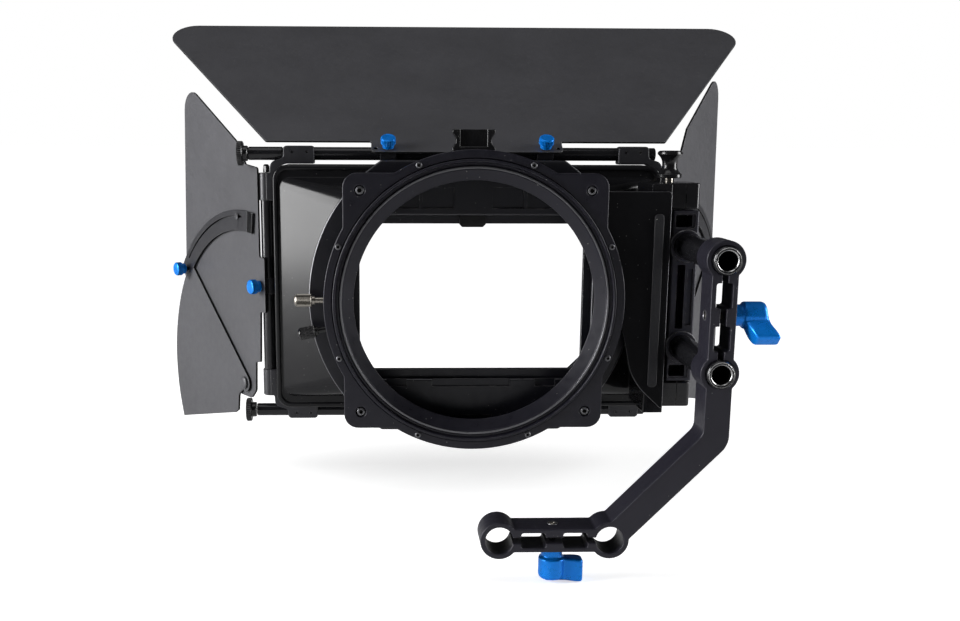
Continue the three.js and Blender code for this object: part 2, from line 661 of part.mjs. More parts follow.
function sideWing(up) {
  const [slotStart, slotEnd] = [44, PIN_ANGLE + 1.6];
  const slot = [
    ...arcPoints(RIVET, PIN_TRACK_R - 1.8, slotStart, slotEnd, 12),
    ...arcPoints(RIVET, PIN_TRACK_R + 1.8, slotEnd, slotStart, 12),
  ];
  const settings = { depth: 8, bevelEnabled: false };
  const slotTool = new THREE.ExtrudeGeometry(polygon(slot.map(onSide(up))), settings);
  return cut(
    sheet(polygon(wingOutline().map(onSide(up))), WING_BASE),
    slotTool.translate(0, 0, WING_BASE - 3),
    hole(RIVET_HOLE_R, onSide(up)(RIVET)),
    hole(SCREW_HOLE_R, onSide(up)(WING_KNOB)),
  );
}

function rivet() {
  return turned([[0, 0], [2.1, 0], [2.1, 4.1], [3.6, 4.2], [3, 5.4], [0, 5.4]]).rotateX(Math.PI / 2);
}

const guidePin = () => turned([[0, 0], [1.4, 0], [1.4, 3], [0, 3]], 12).rotateX(Math.PI / 2);

// ---------------------------------------------------------------- assembly

const model = new THREE.Group();
model.position.set(-CLAMP_X, -ARM_REAR, -(CLAMP_Z + ORIGIN_ABOVE_RODS));

function add(parent, name, geometry, look, place = [0, 0, 0], rotation = [0, 0, 0]) {
  const mesh = new THREE.Mesh(geometry, MATERIALS[look]);
  mesh.name = name;
  mesh.position.set(...place);
  mesh.rotation.set(...rotation);
  parent.add(mesh);
}

function addArm() {
  const upperFace = ARM_X + ARM_HALF + GAP;
  const lowerFace = CLAMP_Z - JAW_HALF - GAP;
  const outward = [0, 0, -Math.PI / 2];
  const down = [-Math.PI / 2, 0, 0];
  add(model, 'bent_arm', bentArm(), 'arm');
  const turnedOut = [UPPER_LEVER_TURN, 0, -Math.PI / 2];
  const upperTip = upperFace - CLAMP_SCREW_DEPTH;
  const lowerTip = lowerFace + CLAMP_SCREW_DEPTH;
  add(model, 'upper_clamp_screw', clampScrew(), 'nickel', [upperTip, ARM_MID, 0], outward);
  add(model, 'upper_clamp_lever', clampLever(), 'blue', [upperFace, ARM_MID, 0], turnedOut);
  add(model, 'lower_clamp_screw', clampScrew(), 'nickel', [CLAMP_X, ARM_MID, lowerTip], down);
  add(model, 'lower_clamp_lever', clampLever(), 'blue', [CLAMP_X, ARM_MID, lowerFace], down);
}

function addCarriage() {
  add(model, 'upper_rod', supportRod(), 'frame', [ARM_X, 0, ROD_PITCH / 2]);
  add(model, 'lower_rod', supportRod(), 'frame', [ARM_X, 0, -ROD_PITCH / 2]);
  add(model, 'hinge_block', hingeBlock(), 'arm');
}

function addBox() {
  add(model, 'hinge_bracket', hingeBracket(), 'arm');
  add(model, 'hinge_plate', hingePlate(), 'arm');
  add(model, 'lower_hinge_pin', lowerPin(), 'nickel');
  add(model, 'pull_pin', pullPin(), 'nickel');
  add(model, 'pull_knob', pullKnob(), 'black');
  add(model, 'ring_plate', ringPlate(), 'ring');
  add(model, 'lens_ring', lensRing(), 'ring');
  cornerScrewPlaces().forEach(([x, z], i) => {
    add(model, `ring_plate_screw_${i + 1}`, cornerScrew(), 'black', [x, 0, z]);
  });
  add(model, 'stage_base', stageBase(), 'stage');
  add(model, 'stage_lock_screw', stageLockScrew(LOCK_ANGLES[0]), 'nickel');
  add(model, 'stage_drag_screw', stageLockScrew(LOCK_ANGLES[1]), 'black');
  add(model, 'rotating_stage', rotatingStage(), 'stage');
  add(model, 'filter_tray', filterTray(), 'stage');
  add(model, 'tray_pull', trayPull(), 'black');
  add(model, 'hood', hood(), 'hood');
}

function addFlagFrame() {
  const inward = [0, 0, -Math.PI / 2];
  add(model, 'top_tube', topTube(), 'frame');
  add(model, 'top_tube_sleeve', topSleeve(), 'frame');
  add(model, 'bottom_tube', bottomTube(), 'frame');
  add(model, 'top_tube_knob', endKnob(), 'black', [TOP_KNOB_X, TUBE_Y, TUBE_TOP_Z], inward);
  add(model, 'bottom_tube_knob', endKnob(), 'black', [BOTTOM_KNOB_X, TUBE_Y, TUBE_BOTTOM_Z], inward);
  [['left', -1], ['right', 1]].forEach(([name, side]) => {
    add(model, `${name}_tube`, sideTube(side), 'frame');
    add(model, `${name}_tube_nut`, tubeNut(side), 'nickel');
    add(model, `top_${name}_bracket`, cornerBracket(side, TUBE_TOP_Z), 'frame');
    add(model, `bottom_${name}_bracket`, cornerBracket(side, TUBE_BOTTOM_Z), 'frame');
  });
}

function addFrenchFlag() {
  const group = new THREE.Group();
  group.position.set(0, TUBE_Y, TUBE_TOP_Z);
  group.rotation.x = THREE.MathUtils.degToRad(FRENCH_PITCH);
  add(group, 'french_flag', frenchFlag(), 'flag');
  [['left', -1], ['right', 1]].forEach(([name, side]) => {
    const place = [side * FRENCH_KNOB_X, 0, 0];
    add(group, `french_collar_${name}`, flagCollar(FRENCH_KNOB_V), 'frame', place);
    add(group, `french_knob_${name}`, thumbKnob(), 'blue', [place[0], FRENCH_KNOB_V, 0]);
  });
  model.add(group);
}

// Local X of a side group lies along its tube, Y runs outward along the sheet, and Z is its normal.
function addSideFlag(name, side) {
  const up = -side;
  const yaw = THREE.MathUtils.degToRad(SIDE_YAW[name]);
  const along = new THREE.Vector3(0, 0, up);
  const outward = new THREE.Vector3(side * Math.sin(yaw), Math.cos(yaw), 0);
  const normal = new THREE.Vector3().crossVectors(along, outward);
  const group = new THREE.Group();
  group.quaternion.setFromRotationMatrix(new THREE.Matrix4().makeBasis(along, outward, normal));
  group.position.set(side * TUBE_SIDE_X, TUBE_Y, SIDE_SLIDE[name]);
  const place = (point) => onSide(up)(point).slice(0, 2);
  const pinPlace = place(polar(RIVET, PIN_TRACK_R, PIN_ANGLE));
  add(group, `${name}_flag`, sideFlag(up), 'flag');
  add(group, `${name}_flag_collar`, flagCollar(), 'frame');
  add(group, `${name}_flag_knob`, thumbKnob(), 'blue');
  add(group, `${name}_wing`, sideWing(up), 'flag');
  add(group, `${name}_wing_rivet`, rivet(), 'nickel', [...place(RIVET), FLAG_BASE - 0.1]);
  add(group, `${name}_guide_pin`, guidePin(), 'nickel', [...pinPlace, PIN_BASE]);
  add(group, `${name}_wing_knob`, thumbKnob(WING_SCREW), 'blue', [...place(WING_KNOB), WING_KNOB_Z]);
  model.add(group);
}

addArm();
addCarriage();
addBox();
addFlagFrame();
addFrenchFlag();
addSideFlag('left', -1);
addSideFlag('right', 1);

export default model;
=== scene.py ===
"""A swing-away matte box on a rod support arm, finished for the studio around its CAD frame."""

import math

import bmesh
import bpy
from mathutils import Matrix, Vector
from mathutils.geometry import tessellate_polygon


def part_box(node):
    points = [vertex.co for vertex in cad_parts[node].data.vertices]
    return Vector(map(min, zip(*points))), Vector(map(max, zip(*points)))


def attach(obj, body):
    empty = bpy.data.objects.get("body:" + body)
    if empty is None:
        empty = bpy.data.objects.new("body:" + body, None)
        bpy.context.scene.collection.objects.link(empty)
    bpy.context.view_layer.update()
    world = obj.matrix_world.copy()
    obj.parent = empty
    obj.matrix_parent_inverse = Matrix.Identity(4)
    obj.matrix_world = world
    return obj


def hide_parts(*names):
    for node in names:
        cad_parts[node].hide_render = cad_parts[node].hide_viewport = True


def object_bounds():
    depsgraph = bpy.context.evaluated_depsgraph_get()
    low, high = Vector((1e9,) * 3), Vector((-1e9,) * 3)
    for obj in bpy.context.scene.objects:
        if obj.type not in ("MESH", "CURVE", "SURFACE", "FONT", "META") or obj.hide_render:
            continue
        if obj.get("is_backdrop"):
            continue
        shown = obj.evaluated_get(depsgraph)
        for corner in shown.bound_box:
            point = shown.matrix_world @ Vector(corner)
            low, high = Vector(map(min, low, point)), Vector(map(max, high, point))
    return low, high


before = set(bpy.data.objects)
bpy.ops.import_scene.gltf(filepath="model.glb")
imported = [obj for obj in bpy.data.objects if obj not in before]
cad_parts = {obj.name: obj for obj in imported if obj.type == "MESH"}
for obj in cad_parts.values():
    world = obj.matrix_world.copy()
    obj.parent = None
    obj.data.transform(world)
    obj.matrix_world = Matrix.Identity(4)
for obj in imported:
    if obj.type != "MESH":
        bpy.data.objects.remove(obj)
CAD_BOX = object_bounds()

# ------------------------------------------------------------------ places, from the frame

# Shapes are drawn in millimetres from the optical axis, with Y = 0 on the ring plate's rear face.
MM = 0.001
RING_LOW, RING_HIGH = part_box("lens_ring")
ORIGIN = Vector(((RING_LOW.x + RING_HIGH.x) / 2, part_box("ring_plate")[0].y, (RING_LOW.z + RING_HIGH.z) / 2))
TO_ROW = Matrix.Translation(ORIGIN) @ Matrix.Diagonal((MM, MM, MM, 1))


def box(node):
    low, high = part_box(node)
    return (low - ORIGIN) / MM, (high - ORIGIN) / MM


def centre(node):
    low, high = box(node)
    return (low + high) / 2


ARM_LOW, ARM_HIGH = box("bent_arm")
ROD = centre("upper_rod")
ROD_LOW, ROD_HIGH = box("upper_rod")
ROD_R = (ROD_HIGH.x - ROD_LOW.x) / 2
PITCH = ROD.z - centre("lower_rod").z
BOSS_R = ARM_HIGH.x - ROD.x
CLAMP = Vector((ARM_LOW.x + BOSS_R + PITCH / 2, (ARM_LOW.y + ARM_HIGH.y) / 2, ARM_LOW.z + BOSS_R))
PIVOT = centre("pull_pin")
BLOCK_LOW, BLOCK_HIGH = box("hinge_block")
TOP_TUBE = centre("top_tube")
BOTTOM_TUBE = centre("bottom_tube")
TUBE_R = TOP_TUBE.z - box("top_tube")[0].z
HOOD_LOW, HOOD_HIGH = box("hood")
STAGE_LOW, STAGE_HIGH = box("rotating_stage")
GAP = 0.3

# ------------------------------------------------------------------ outlines


def arc(middle, radius, start, end, steps=16):
    """Points round an arc, from one angle to another in degrees."""
    angles = [math.radians(start + (end - start) * i / steps) for i in range(steps + 1)]
    return [(middle[0] + radius * math.cos(a), middle[1] + radius * math.sin(a)) for a in angles]


def circle(middle, radius, steps=64):
    return arc(middle, radius, 0, 360, steps)[:-1]


def chord(middle, radius, start, end):
    """The angles, in degrees, at which the line from start to end enters and leaves a circle."""
    start, end, middle = Vector(start), Vector(end), Vector(middle)
    along = (end - start).normalized()
    foot = start + along * (middle - start).dot(along)
    half = math.sqrt(radius**2 - (foot - middle).length_squared)
    crossings = [foot - along * half - middle, foot + along * half - middle]
    return [math.degrees(math.atan2(point.y, point.x)) for point in crossings]


def rounded(points, radius=0.0, steps=5, closed=True):
    """An outline whose corners are arcs. A point is (x, z), or (x, z, its own radius)."""
    outline = []
    for i, point in enumerate(points):
        corner = Vector(point[:2])
        size = point[2] if len(point) > 2 else radius
        if size == 0 or (not closed and i in (0, len(points) - 1)):
            outline.append(tuple(corner))
            continue
        before = Vector(points[i - 1][:2]) - corner
        after = Vector(points[(i + 1) % len(points)][:2]) - corner
        half = before.angle(after) / 2
        reach = min(size / math.tan(half), 0.49 * before.length, 0.49 * after.length)
        size = reach * math.tan(half)
        middle = corner + (before.normalized() + after.normalized()).normalized() * size / math.sin(half)
        first = corner + before.normalized() * reach - middle
        last = corner + after.normalized() * reach - middle
        start = math.degrees(math.atan2(first.y, first.x))
        swing = math.degrees(math.atan2(last.y, last.x)) - start
        swing = (swing + 180) % 360 - 180
        outline.extend(arc(middle, size, start, start + swing, steps))
    return outline


def rectangle(half_x, half_z, radius, steps=6):
    corners = [(-half_x, -half_z), (half_x, -half_z), (half_x, half_z), (-half_x, half_z)]
    return rounded(corners, radius, steps)


def chamfered(half_x, half_z, chamfer, radius=0.8):
    right = [(half_x - chamfer, -half_z), (half_x, chamfer - half_z), (half_x, half_z - chamfer),
             (half_x - chamfer, half_z)]
    return rounded(right + [(-x, -z) for x, z in right], radius, 3)


# ------------------------------------------------------------------ meshes


def mesh_of(points, faces):
    mesh = bpy.data.meshes.new("shape")
    mesh.from_pydata(points, [], faces)
    work = bmesh.new()
    work.from_mesh(mesh)
    bmesh.ops.recalc_face_normals(work, faces=work.faces)
    work.to_mesh(mesh)
    work.free()
    return mesh


def loft(rings, closed=False):
    """A skin over rings of points. It is capped at both ends, or its last ring joins its first."""
    count = len(rings[0])
    points = [point for ring in rings for point in ring]
    faces = []
    for k in range(len(rings) if closed else len(rings) - 1):
        here = k * count
        there = (k + 1) % len(rings) * count
        for i in range(count):
            j = (i + 1) % count
            faces.append((here + i, here + j, there + j, there + i))
    if not closed:
        faces.append(tuple(range(count)))
        faces.append(tuple(range(len(points) - count, len(points))))
    return mesh_of(points, faces)


def turned(profile, segments=64, ripple=None):
    """A turned piece about Y, from (radius, height) pairs. A profile that leaves the axis is a ring."""
    solid = profile[0][0] == 0
    rings = []
    for radius, height in profile[1:-1] if solid else profile:
        ring = []
        for i in range(segments):
            angle = math.tau * i / segments
            reach = radius + (ripple(angle, height) if ripple else 0)
            ring.append((reach * math.sin(angle), height, reach * math.cos(angle)))
        rings.append(ring)
    return loft(rings, closed=not solid)


def inset(loop, distance):
    """A loop moved to its left by a distance, with mitred corners."""
    moved = []
    for i, here in enumerate(loop):
        before = (here - loop[i - 1]).normalized()
        after = (loop[(i + 1) % len(loop)] - here).normalized()
        left = Vector((-before.y, before.x))
        next_left = Vector((-after.y, after.x))
        moved.append(here + (left + next_left) * distance / (1 + left.dot(next_left)))
    return moved


def area(loop):
    return sum(a.x * b.y - b.x * a.y for a, b in zip(loop, loop[1:] + loop[:1])) / 2


def slab(outline, low, high, holes=(), edge=0.4):
    """A flat piece drawn in X and Z, from low to high along Y, with its edges rounded over."""
    loops = []
    for i, points in enumerate([outline, *holes]):
        loop = [Vector(point) for point in points]
        wanted = 1 if i == 0 else -1
        loops.append(loop if area(loop) * wanted > 0 else loop[::-1])
    turns = [math.radians(angle) for angle in (0, 30, 60, 90)]
    layers = [(edge * (1 - math.sin(t)), low + edge * (1 - math.cos(t))) for t in turns]
    layers += [(step, high + low - y) for step, y in reversed(layers)]
    points = []
    faces = []
    total = sum(len(loop) for loop in loops)
    for step, y in layers:
        for loop in loops:
            points.extend((point.x, y, point.y) for point in inset(loop, step))
    for k in range(len(layers) - 1):
        first = k * total
        for loop in loops:
            for i in range(len(loop)):
                j = (i + 1) % len(loop)
                faces.append((first + i, first + j, first + total + j, first + total + i))
            first += len(loop)
    flat = [[Vector((p.x, p.y, 0)) for p in inset(loop, edge)] for loop in loops]
    lid = tessellate_polygon(flat)
    top = total * (len(layers) - 1)
    faces.extend(lid)
    faces.extend(tuple(top + i for i in triangle) for triangle in lid)
    return mesh_of(points, faces)


# Swaps Y and Z, so that a slab's outline lies in X and Y and its thickness along Z.
LAID_FLAT = Matrix(((1, 0, 0, 0), (0, 0, 1, 0), (0, 1, 0, 0), (0, 0, 0, 1)))


def flat_slab(outline, low, high, holes=(), edge=0.4):
    """A slab drawn in X and Y, from low to high along Z."""
    mesh = slab(outline, low, high, holes, edge)
    mesh.transform(LAID_FLAT)
    mesh.flip_normals()
    return mesh


def block(low, high, edge=0.0):
    """A block between two corners."""
    points = [(x, y, z) for x in (low[0], high[0]) for y in (low[1], high[1]) for z in (low[2], high[2])]
    faces = [(0, 1, 3, 2), (4, 6, 7, 5), (0, 4, 5, 1), (2, 3, 7, 6), (0, 2, 6, 4), (1, 5, 7, 3)]
    mesh = mesh_of(points, faces)
    if edge:
        work = bmesh.new()
        work.from_mesh(mesh)
        bmesh.ops.bevel(work, geom=work.edges, offset=edge, segments=3, profile=0.5, affect="EDGES")
        work.to_mesh(mesh)
        work.free()
    return mesh


def along(direction, place=(0, 0, 0)):
    """A matrix that lays the Y axis along a direction and starts it at a place."""
    turn = Vector((0, 1, 0)).rotation_difference(Vector(direction))
    return Matrix.Translation(Vector(place)) @ turn.to_matrix().to_4x4()


def put(mesh, matrix):
    mesh.transform(matrix)
    return mesh


def bar(axis, radius, low, high, place, segments=64):
    """A plain cylinder along 'x', 'y' or 'z', used to join and cut."""
    across = list(place)
    ends = {"x": [low, *across], "y": [across[0], low, across[1]], "z": [*across, low]}[axis]
    direction = {"x": (1, 0, 0), "y": (0, 1, 0), "z": (0, 0, 1)}[axis]
    height = high - low
    return put(turned([(0, 0), (radius, 0), (radius, height), (0, height)], segments), along(direction, ends))


def combine(first, others, operation):
    objects = [bpy.data.objects.new("work", mesh) for mesh in [first, *others]]
    for item in objects:
        bpy.context.scene.collection.objects.link(item)
    for tool in objects[1:]:
        modifier = objects[0].modifiers.new("work", "BOOLEAN")
        modifier.operation = operation
        modifier.solver = "EXACT"
        modifier.object = tool
    depsgraph = bpy.context.evaluated_depsgraph_get()
    mesh = bpy.data.meshes.new_from_object(objects[0].evaluated_get(depsgraph))
    for item in objects:
        bpy.data.objects.remove(item)
    return mesh


def join(first, *others):
    return combine(first, others, "UNION")


def cut(first, *tools):
    return combine(first, tools, "DIFFERENCE")


def piece(name, mesh, body, look, matrix=Matrix(), nodes=None, bevel=0.0, accents=(), sharp=35):
    """One finished piece. It rides on a body and stands for its CAD nodes. Accents are (look, test)."""
    mesh.materials.clear()
    mesh.materials.append(LOOKS[look])
    mesh.polygons.foreach_set("material_index", [0] * len(mesh.polygons))
    for i, (other, test) in enumerate(accents, 1):
        mesh.materials.append(LOOKS[other])
        for face in mesh.polygons:
            if test(face):
                face.material_index = i
    mesh.transform(TO_ROW @ matrix)
    mesh.polygons.foreach_set("use_smooth", [True] * len(mesh.polygons))
    mesh.set_sharp_from_angle(angle=math.radians(sharp))
    item = bpy.data.objects.new(name, mesh)
    bpy.context.scene.collection.objects.link(item)
    if bevel:
        modifier = item.modifiers.new("edges", "BEVEL")
        modifier.width = bevel * MM
        modifier.segments = 2
        modifier.limit_method = "ANGLE"
        modifier.angle_limit = math.radians(32)
        modifier.miter_outer = "MITER_ARC"
    shading = item.modifiers.new("shading", "WEIGHTED_NORMAL")
    shading.keep_sharp = not bevel
    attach(item, body)
    for node in [name] if nodes is None else nodes:
        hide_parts(node)
    return item


# ------------------------------------------------------------------ materials


class Graph:
    """A short way to wire shader nodes."""

    def __init__(self, name):
        self.material = bpy.data.materials.new(name)
        self.material.use_nodes = True
        self.tree = self.material.node_tree
        self.shader = self.tree.nodes["Principled BSDF"]
        self.place = self.tree.nodes.new("ShaderNodeTexCoord").outputs["Object"]

    def node(self, kind, inputs=(), output=0, **settings):
        made = self.tree.nodes.new(kind)
        for key, value in settings.items():
            setattr(made, key, value)
        for key, value in dict(inputs).items():
            if hasattr(value, "is_output"):
                self.tree.links.new(value, made.inputs[key])
            else:
                made.inputs[key].default_value = value
        return made.outputs[output]

    def noise(self, size_mm, detail=3.0, stretch=None):
        vector = self.place
        if stretch:
            vector = self.node("ShaderNodeVectorMath", {0: self.place, 1: stretch}, operation="MULTIPLY")
        scale = 1 / (size_mm * MM)
        return self.node("ShaderNodeTexNoise", {"Vector": vector, "Scale": scale, "Detail": detail})

    def ramp(self, value, start, end, low=0.0, high=1.0):
        inputs = {"Value": value, "From Min": start, "From Max": end, "To Min": low, "To Max": high}
        return self.node("ShaderNodeMapRange", inputs)

    def times(self, first, second):
        return self.node("ShaderNodeMath", {0: first, 1: second}, operation="MULTIPLY")

    def plus(self, first, second):
        return self.node("ShaderNodeMath", {0: first, 1: second}, operation="ADD")

    def mix(self, factor, first, second):
        inputs = {0: factor, 6: first, 7: second}
        return self.node("ShaderNodeMix", inputs, output=2, data_type="RGBA")

    def worn_edges(self, radius_mm):
        """One where the surface turns a corner, zero on flats."""
        soft = self.node("ShaderNodeBevel", {"Radius": radius_mm * MM}, samples=4)
        true = self.node("ShaderNodeNewGeometry", output=1)
        inputs = {0: soft, 1: true}
        same = self.node("ShaderNodeVectorMath", inputs, output=1, operation="DOT_PRODUCT")
        return self.ramp(same, 0.985, 0.86)

    def set(self, **values):
        for key, value in values.items():
            socket = self.shader.inputs[key.replace("_", " ")]
            if hasattr(value, "is_output"):
                self.tree.links.new(value, socket)
            else:
                socket.default_value = value


def rgba(colour, factor=1.0):
    return (*[channel * factor for channel in colour], 1.0)


def finish(name, colour, roughness, metallic=0.0, grain=0.4, grain_mm=0.35, wear=0.3, dust=0.0, coat=0.0,
           wear_colour=(0.35, 0.34, 0.34), stretch=None, spread=0.25, specular=0.5, uneven=1.0):
    """A machined, moulded or coated surface with grain, uneven sheen, worn edges and a little dust."""
    graph = Graph(name)
    cloud = graph.noise(38, 5)
    fine = graph.noise(grain_mm, 2, stretch)
    patch = graph.noise(4.5, 4)
    colour_node = graph.mix(cloud, rgba(colour, 1 - spread), rgba(colour, 1 + spread))
    edge = graph.times(graph.worn_edges(0.45), graph.ramp(patch, 0.42, 0.62))
    edge = graph.times(edge, wear)
    colour_node = graph.mix(edge, colour_node, rgba(wear_colour))
    sheen = graph.plus(graph.ramp(patch, 0.3, 0.7, -0.05, 0.06), graph.ramp(fine, 0.3, 0.7, -0.04, 0.05))
    sheen = graph.plus(graph.times(sheen, uneven), roughness)
    if dust:
        cells = graph.node("ShaderNodeTexVoronoi", {"Vector": graph.place, "Scale": 1 / (3.2 * MM)})
        speck = graph.times(graph.ramp(cells, 0.09, 0.05), graph.ramp(graph.noise(11, 2), 0.5, 0.6))
        speck = graph.times(speck, dust)
        colour_node = graph.mix(speck, colour_node, rgba((0.55, 0.54, 0.52)))
        sheen = graph.plus(sheen, speck)
    bump = graph.node("ShaderNodeBump", {"Strength": grain, "Distance": 0.06 * MM, "Height": fine})
    graph.set(Base_Color=colour_node, Roughness=sheen, Metallic=metallic, Normal=bump, Coat_Weight=coat,
              Specular_IOR_Level=specular)
    graph.shader.inputs["Coat Roughness"].default_value = 0.12
    return graph.material


LOOKS = {
    "arm_anodised": finish("satin_black_anodised", (0.019, 0.018, 0.027), 0.4, 0.3, wear=0.5, dust=0.5),
    "ring_anodised": finish("ring_black_anodised", (0.011, 0.0105, 0.017), 0.34, 0.3, wear=0.45, dust=0.7),
    "stage_black": finish("stage_black", (0.006, 0.006, 0.010), 0.38, 0.2, wear=0.4, dust=0.3),
    "hood_gloss": finish("hood_moulding", (0.008, 0.008, 0.009), 0.17, 0.0, grain=0.03, grain_mm=0.9,
                         wear=0.15,
                         dust=0.2, coat=0.08, uneven=0.3, spread=0.1, specular=0.18),
    "tube_black": finish("tube_black", (0.012, 0.012, 0.014), 0.2, 0.3, grain=0.1, wear=0.3, dust=0.2,
                         uneven=0.5),
    "bracket_black": finish("bracket_cast", (0.022, 0.022, 0.026), 0.36, 0.25, grain=0.5, wear=0.5, dust=0.4),
    "flag_matte": finish("flag_powder_coat", (0.052, 0.052, 0.058), 0.5, 0.15, grain=0.6, grain_mm=0.45,
                         wear=0.5,
                         dust=0.25),
    "blue_anodised": finish("blue_anodised", (0.0, 0.22, 0.8), 0.3, 0.5, grain=0.3, wear=0.5, dust=0.2,
                            wear_colour=(0.25, 0.55, 0.9)),
    "nickel": finish("nickel", (0.3, 0.28, 0.25), 0.3, 1.0, grain=0.3, wear=0.4,
                     wear_colour=(0.6, 0.57, 0.52)),
    "knob_black": finish("knob_black", (0.009, 0.009, 0.01), 0.2, 0.2, grain=0.2, wear=0.35, dust=0.3),
    "bright_edge": finish("bare_aluminium", (0.5, 0.5, 0.5), 0.26, 1.0, grain=0.2, wear=0.2),
    # rubbed metal on bushes, screw heads and worn edges, also laid as a painted highlight on the lens ring's
    # bead and the stage and tray chamfers
    "rubbed_and_highlight_edge": finish("rubbed_and_highlight_edge", (0.16, 0.16, 0.17), 0.32, 0.8, grain=0.4, wear=0.3),
    # painted shade: a near-black laid where shade falls, in bores, sockets, a slot floor and the flags' cut
    # edges
    "painted_shade_black": finish("painted_shade_black", (0.003, 0.003, 0.003), 0.7, 0.0, grain=0.2, wear=0.0, specular=0.2),
    # painted shade: the black hinge plate is darkened further, to the shadow it sits in
    "painted_shade_plate": finish("painted_shade_plate", (0.004, 0.004, 0.005), 0.5, 0.0, grain=0.4, wear=0.4, dust=0.3,
                          specular=0.1),
    "rough_cast": finish("rough_cast", (0.012, 0.012, 0.015), 0.6, 0.2, grain=1.0, grain_mm=1.1, wear=0.5,
                         dust=1.0),
}


def sloped(face, axis=1):
    """True on the rounded edges of a flat piece, between its faces and its sides."""
    return 0.3 < abs(face.normal[axis]) < 0.93


# ------------------------------------------------------------------ small hardware


def hexagon(radius, height, segments, turn=0.0):
    """A ring of points on a hexagon's sides."""
    ring = []
    for i in range(segments):
        angle = math.tau * i / segments
        off = (angle + turn) % (math.pi / 3) - math.pi / 6
        reach = radius * math.cos(math.pi / 6) / math.cos(off)
        ring.append((reach * math.sin(angle), height, reach * math.cos(angle)))
    return ring


def ring_at(radius, height, segments):
    angles = [math.tau * i / segments for i in range(segments)]
    return [(radius * math.sin(a), height, radius * math.cos(a)) for a in angles]


def socket_screw(radius, head, shank_radius, shank, segments=48, dome=0.25):
    """A button head screw with a hexagon socket. It stands along +Y, with its head's underside at 0."""
    socket = radius * 0.5
    rings = [ring_at(shank_radius, -shank, segments), ring_at(shank_radius, 0, segments)]
    rings += [ring_at(radius, 0, segments), ring_at(radius, head * 0.4, segments)]
    for t in (0.35, 0.7, 1.0):
        reach = radius - radius * dome * (1 - math.cos(t * math.pi / 2))
        rings.append(ring_at(reach, head * (0.4 + 0.6 * math.sin(t * math.pi / 2)), segments))
    rings.append(hexagon(socket * 1.08, head, segments))
    rings.append(hexagon(socket, head - 0.15, segments))
    rings.append(hexagon(socket, head * 0.25, segments))
    return loft(rings)


def in_socket(face, radius, head):
    """True inside the hexagon socket of a screw with this head."""
    from_axis = math.hypot(face.center.x, face.center.z)
    return 0 < face.center.y < head * 0.9 and from_axis < radius * 0.53


def straight_knurl(teeth, depth, low, high):
    """Ridges along the axis between two heights."""
    def ripple(angle, height):
        inside = low <= height <= high
        return depth * (abs((angle * teeth / math.tau) % 1 - 0.5) * 2 - 1) if inside else 0
    return ripple


def diamond_knurl(teeth, depth, pitch, low, high):
    """Crossing ridges between two heights."""
    def ripple(angle, height):
        if not low <= height <= high:
            return 0
        turn = angle * teeth
        lean = height * math.tau / pitch
        return -depth * max(abs(math.cos((turn + lean) / 2)), abs(math.cos((turn - lean) / 2))) ** 3
    return ripple


def levels(low, high, steps):
    return [low + (high - low) * i / steps for i in range(steps + 1)]


def thumb_knob(tip, top, radius):
    """A blue thumb knob with its screw, along +Y from the screw's tip to the knob's top."""
    neck, skirt = top - 6.9, top - 4.4
    profile = [(0, tip), (1.1, tip), (1.4, tip + 0.3), (1.4, neck - 0.1), (3.3, neck), (3.6, neck + 0.3)]
    profile += [(3.6, skirt - 0.2), (radius - 0.4, skirt)]
    profile += [(radius - 0.1, skirt + 0.3)] + [(radius, h) for h in levels(skirt + 0.5, top - 1.0, 3)]
    profile += [(radius - 0.15, top - 0.6), (radius - 0.6, top - 0.12), (radius - 0.9, top), (3.0, top)]
    profile += [(2.7, top - 0.15), (0, top - 0.2)]
    return turned(profile, 96, straight_knurl(32, 0.3, skirt + 0.4, top - 0.9))


# ------------------------------------------------------------------ support arm

ARM_HALF = 7.0
BEND_Z = -66.0
JAW_HALF = 6.6
BORE_R = ROD_R + 0.12
SLIT = 1.6
WINDOW_HALF = (6.7, 4.3)
WINDOW_OFFSET = 11.4


def split_bores():
    """The two bores of a clamp with the slit and the windows between them, along U, in (U, V) pairs."""
    half = PITCH / 2
    opening = math.degrees(math.asin(SLIT / BORE_R))
    edge = []
    for middle in (-WINDOW_OFFSET, WINDOW_OFFSET):
        low, high = middle - WINDOW_HALF[0], middle + WINDOW_HALF[0]
        edge += [(low, -SLIT, 0.3), (low, -WINDOW_HALF[1], 1.8), (high, -WINDOW_HALF[1], 1.8),
                 (high, -SLIT, 0.3)]
    left_bore = arc((-half, 0), BORE_R, 90, 360 - opening, 36)
    right_bore = arc((half, 0), BORE_R, 180 + opening, 450, 36)
    side = left_bore + edge + right_bore
    other = [(-point[0], -point[1], *point[2:]) for point in edge]
    right_return = arc((half, 0), BORE_R, 90, 180 - opening, 12)[1:]
    left_return = arc((-half, 0), BORE_R, opening, 90, 12)[:-1]
    back = right_return + other + left_return
    return rounded(side + back, 0, 4)


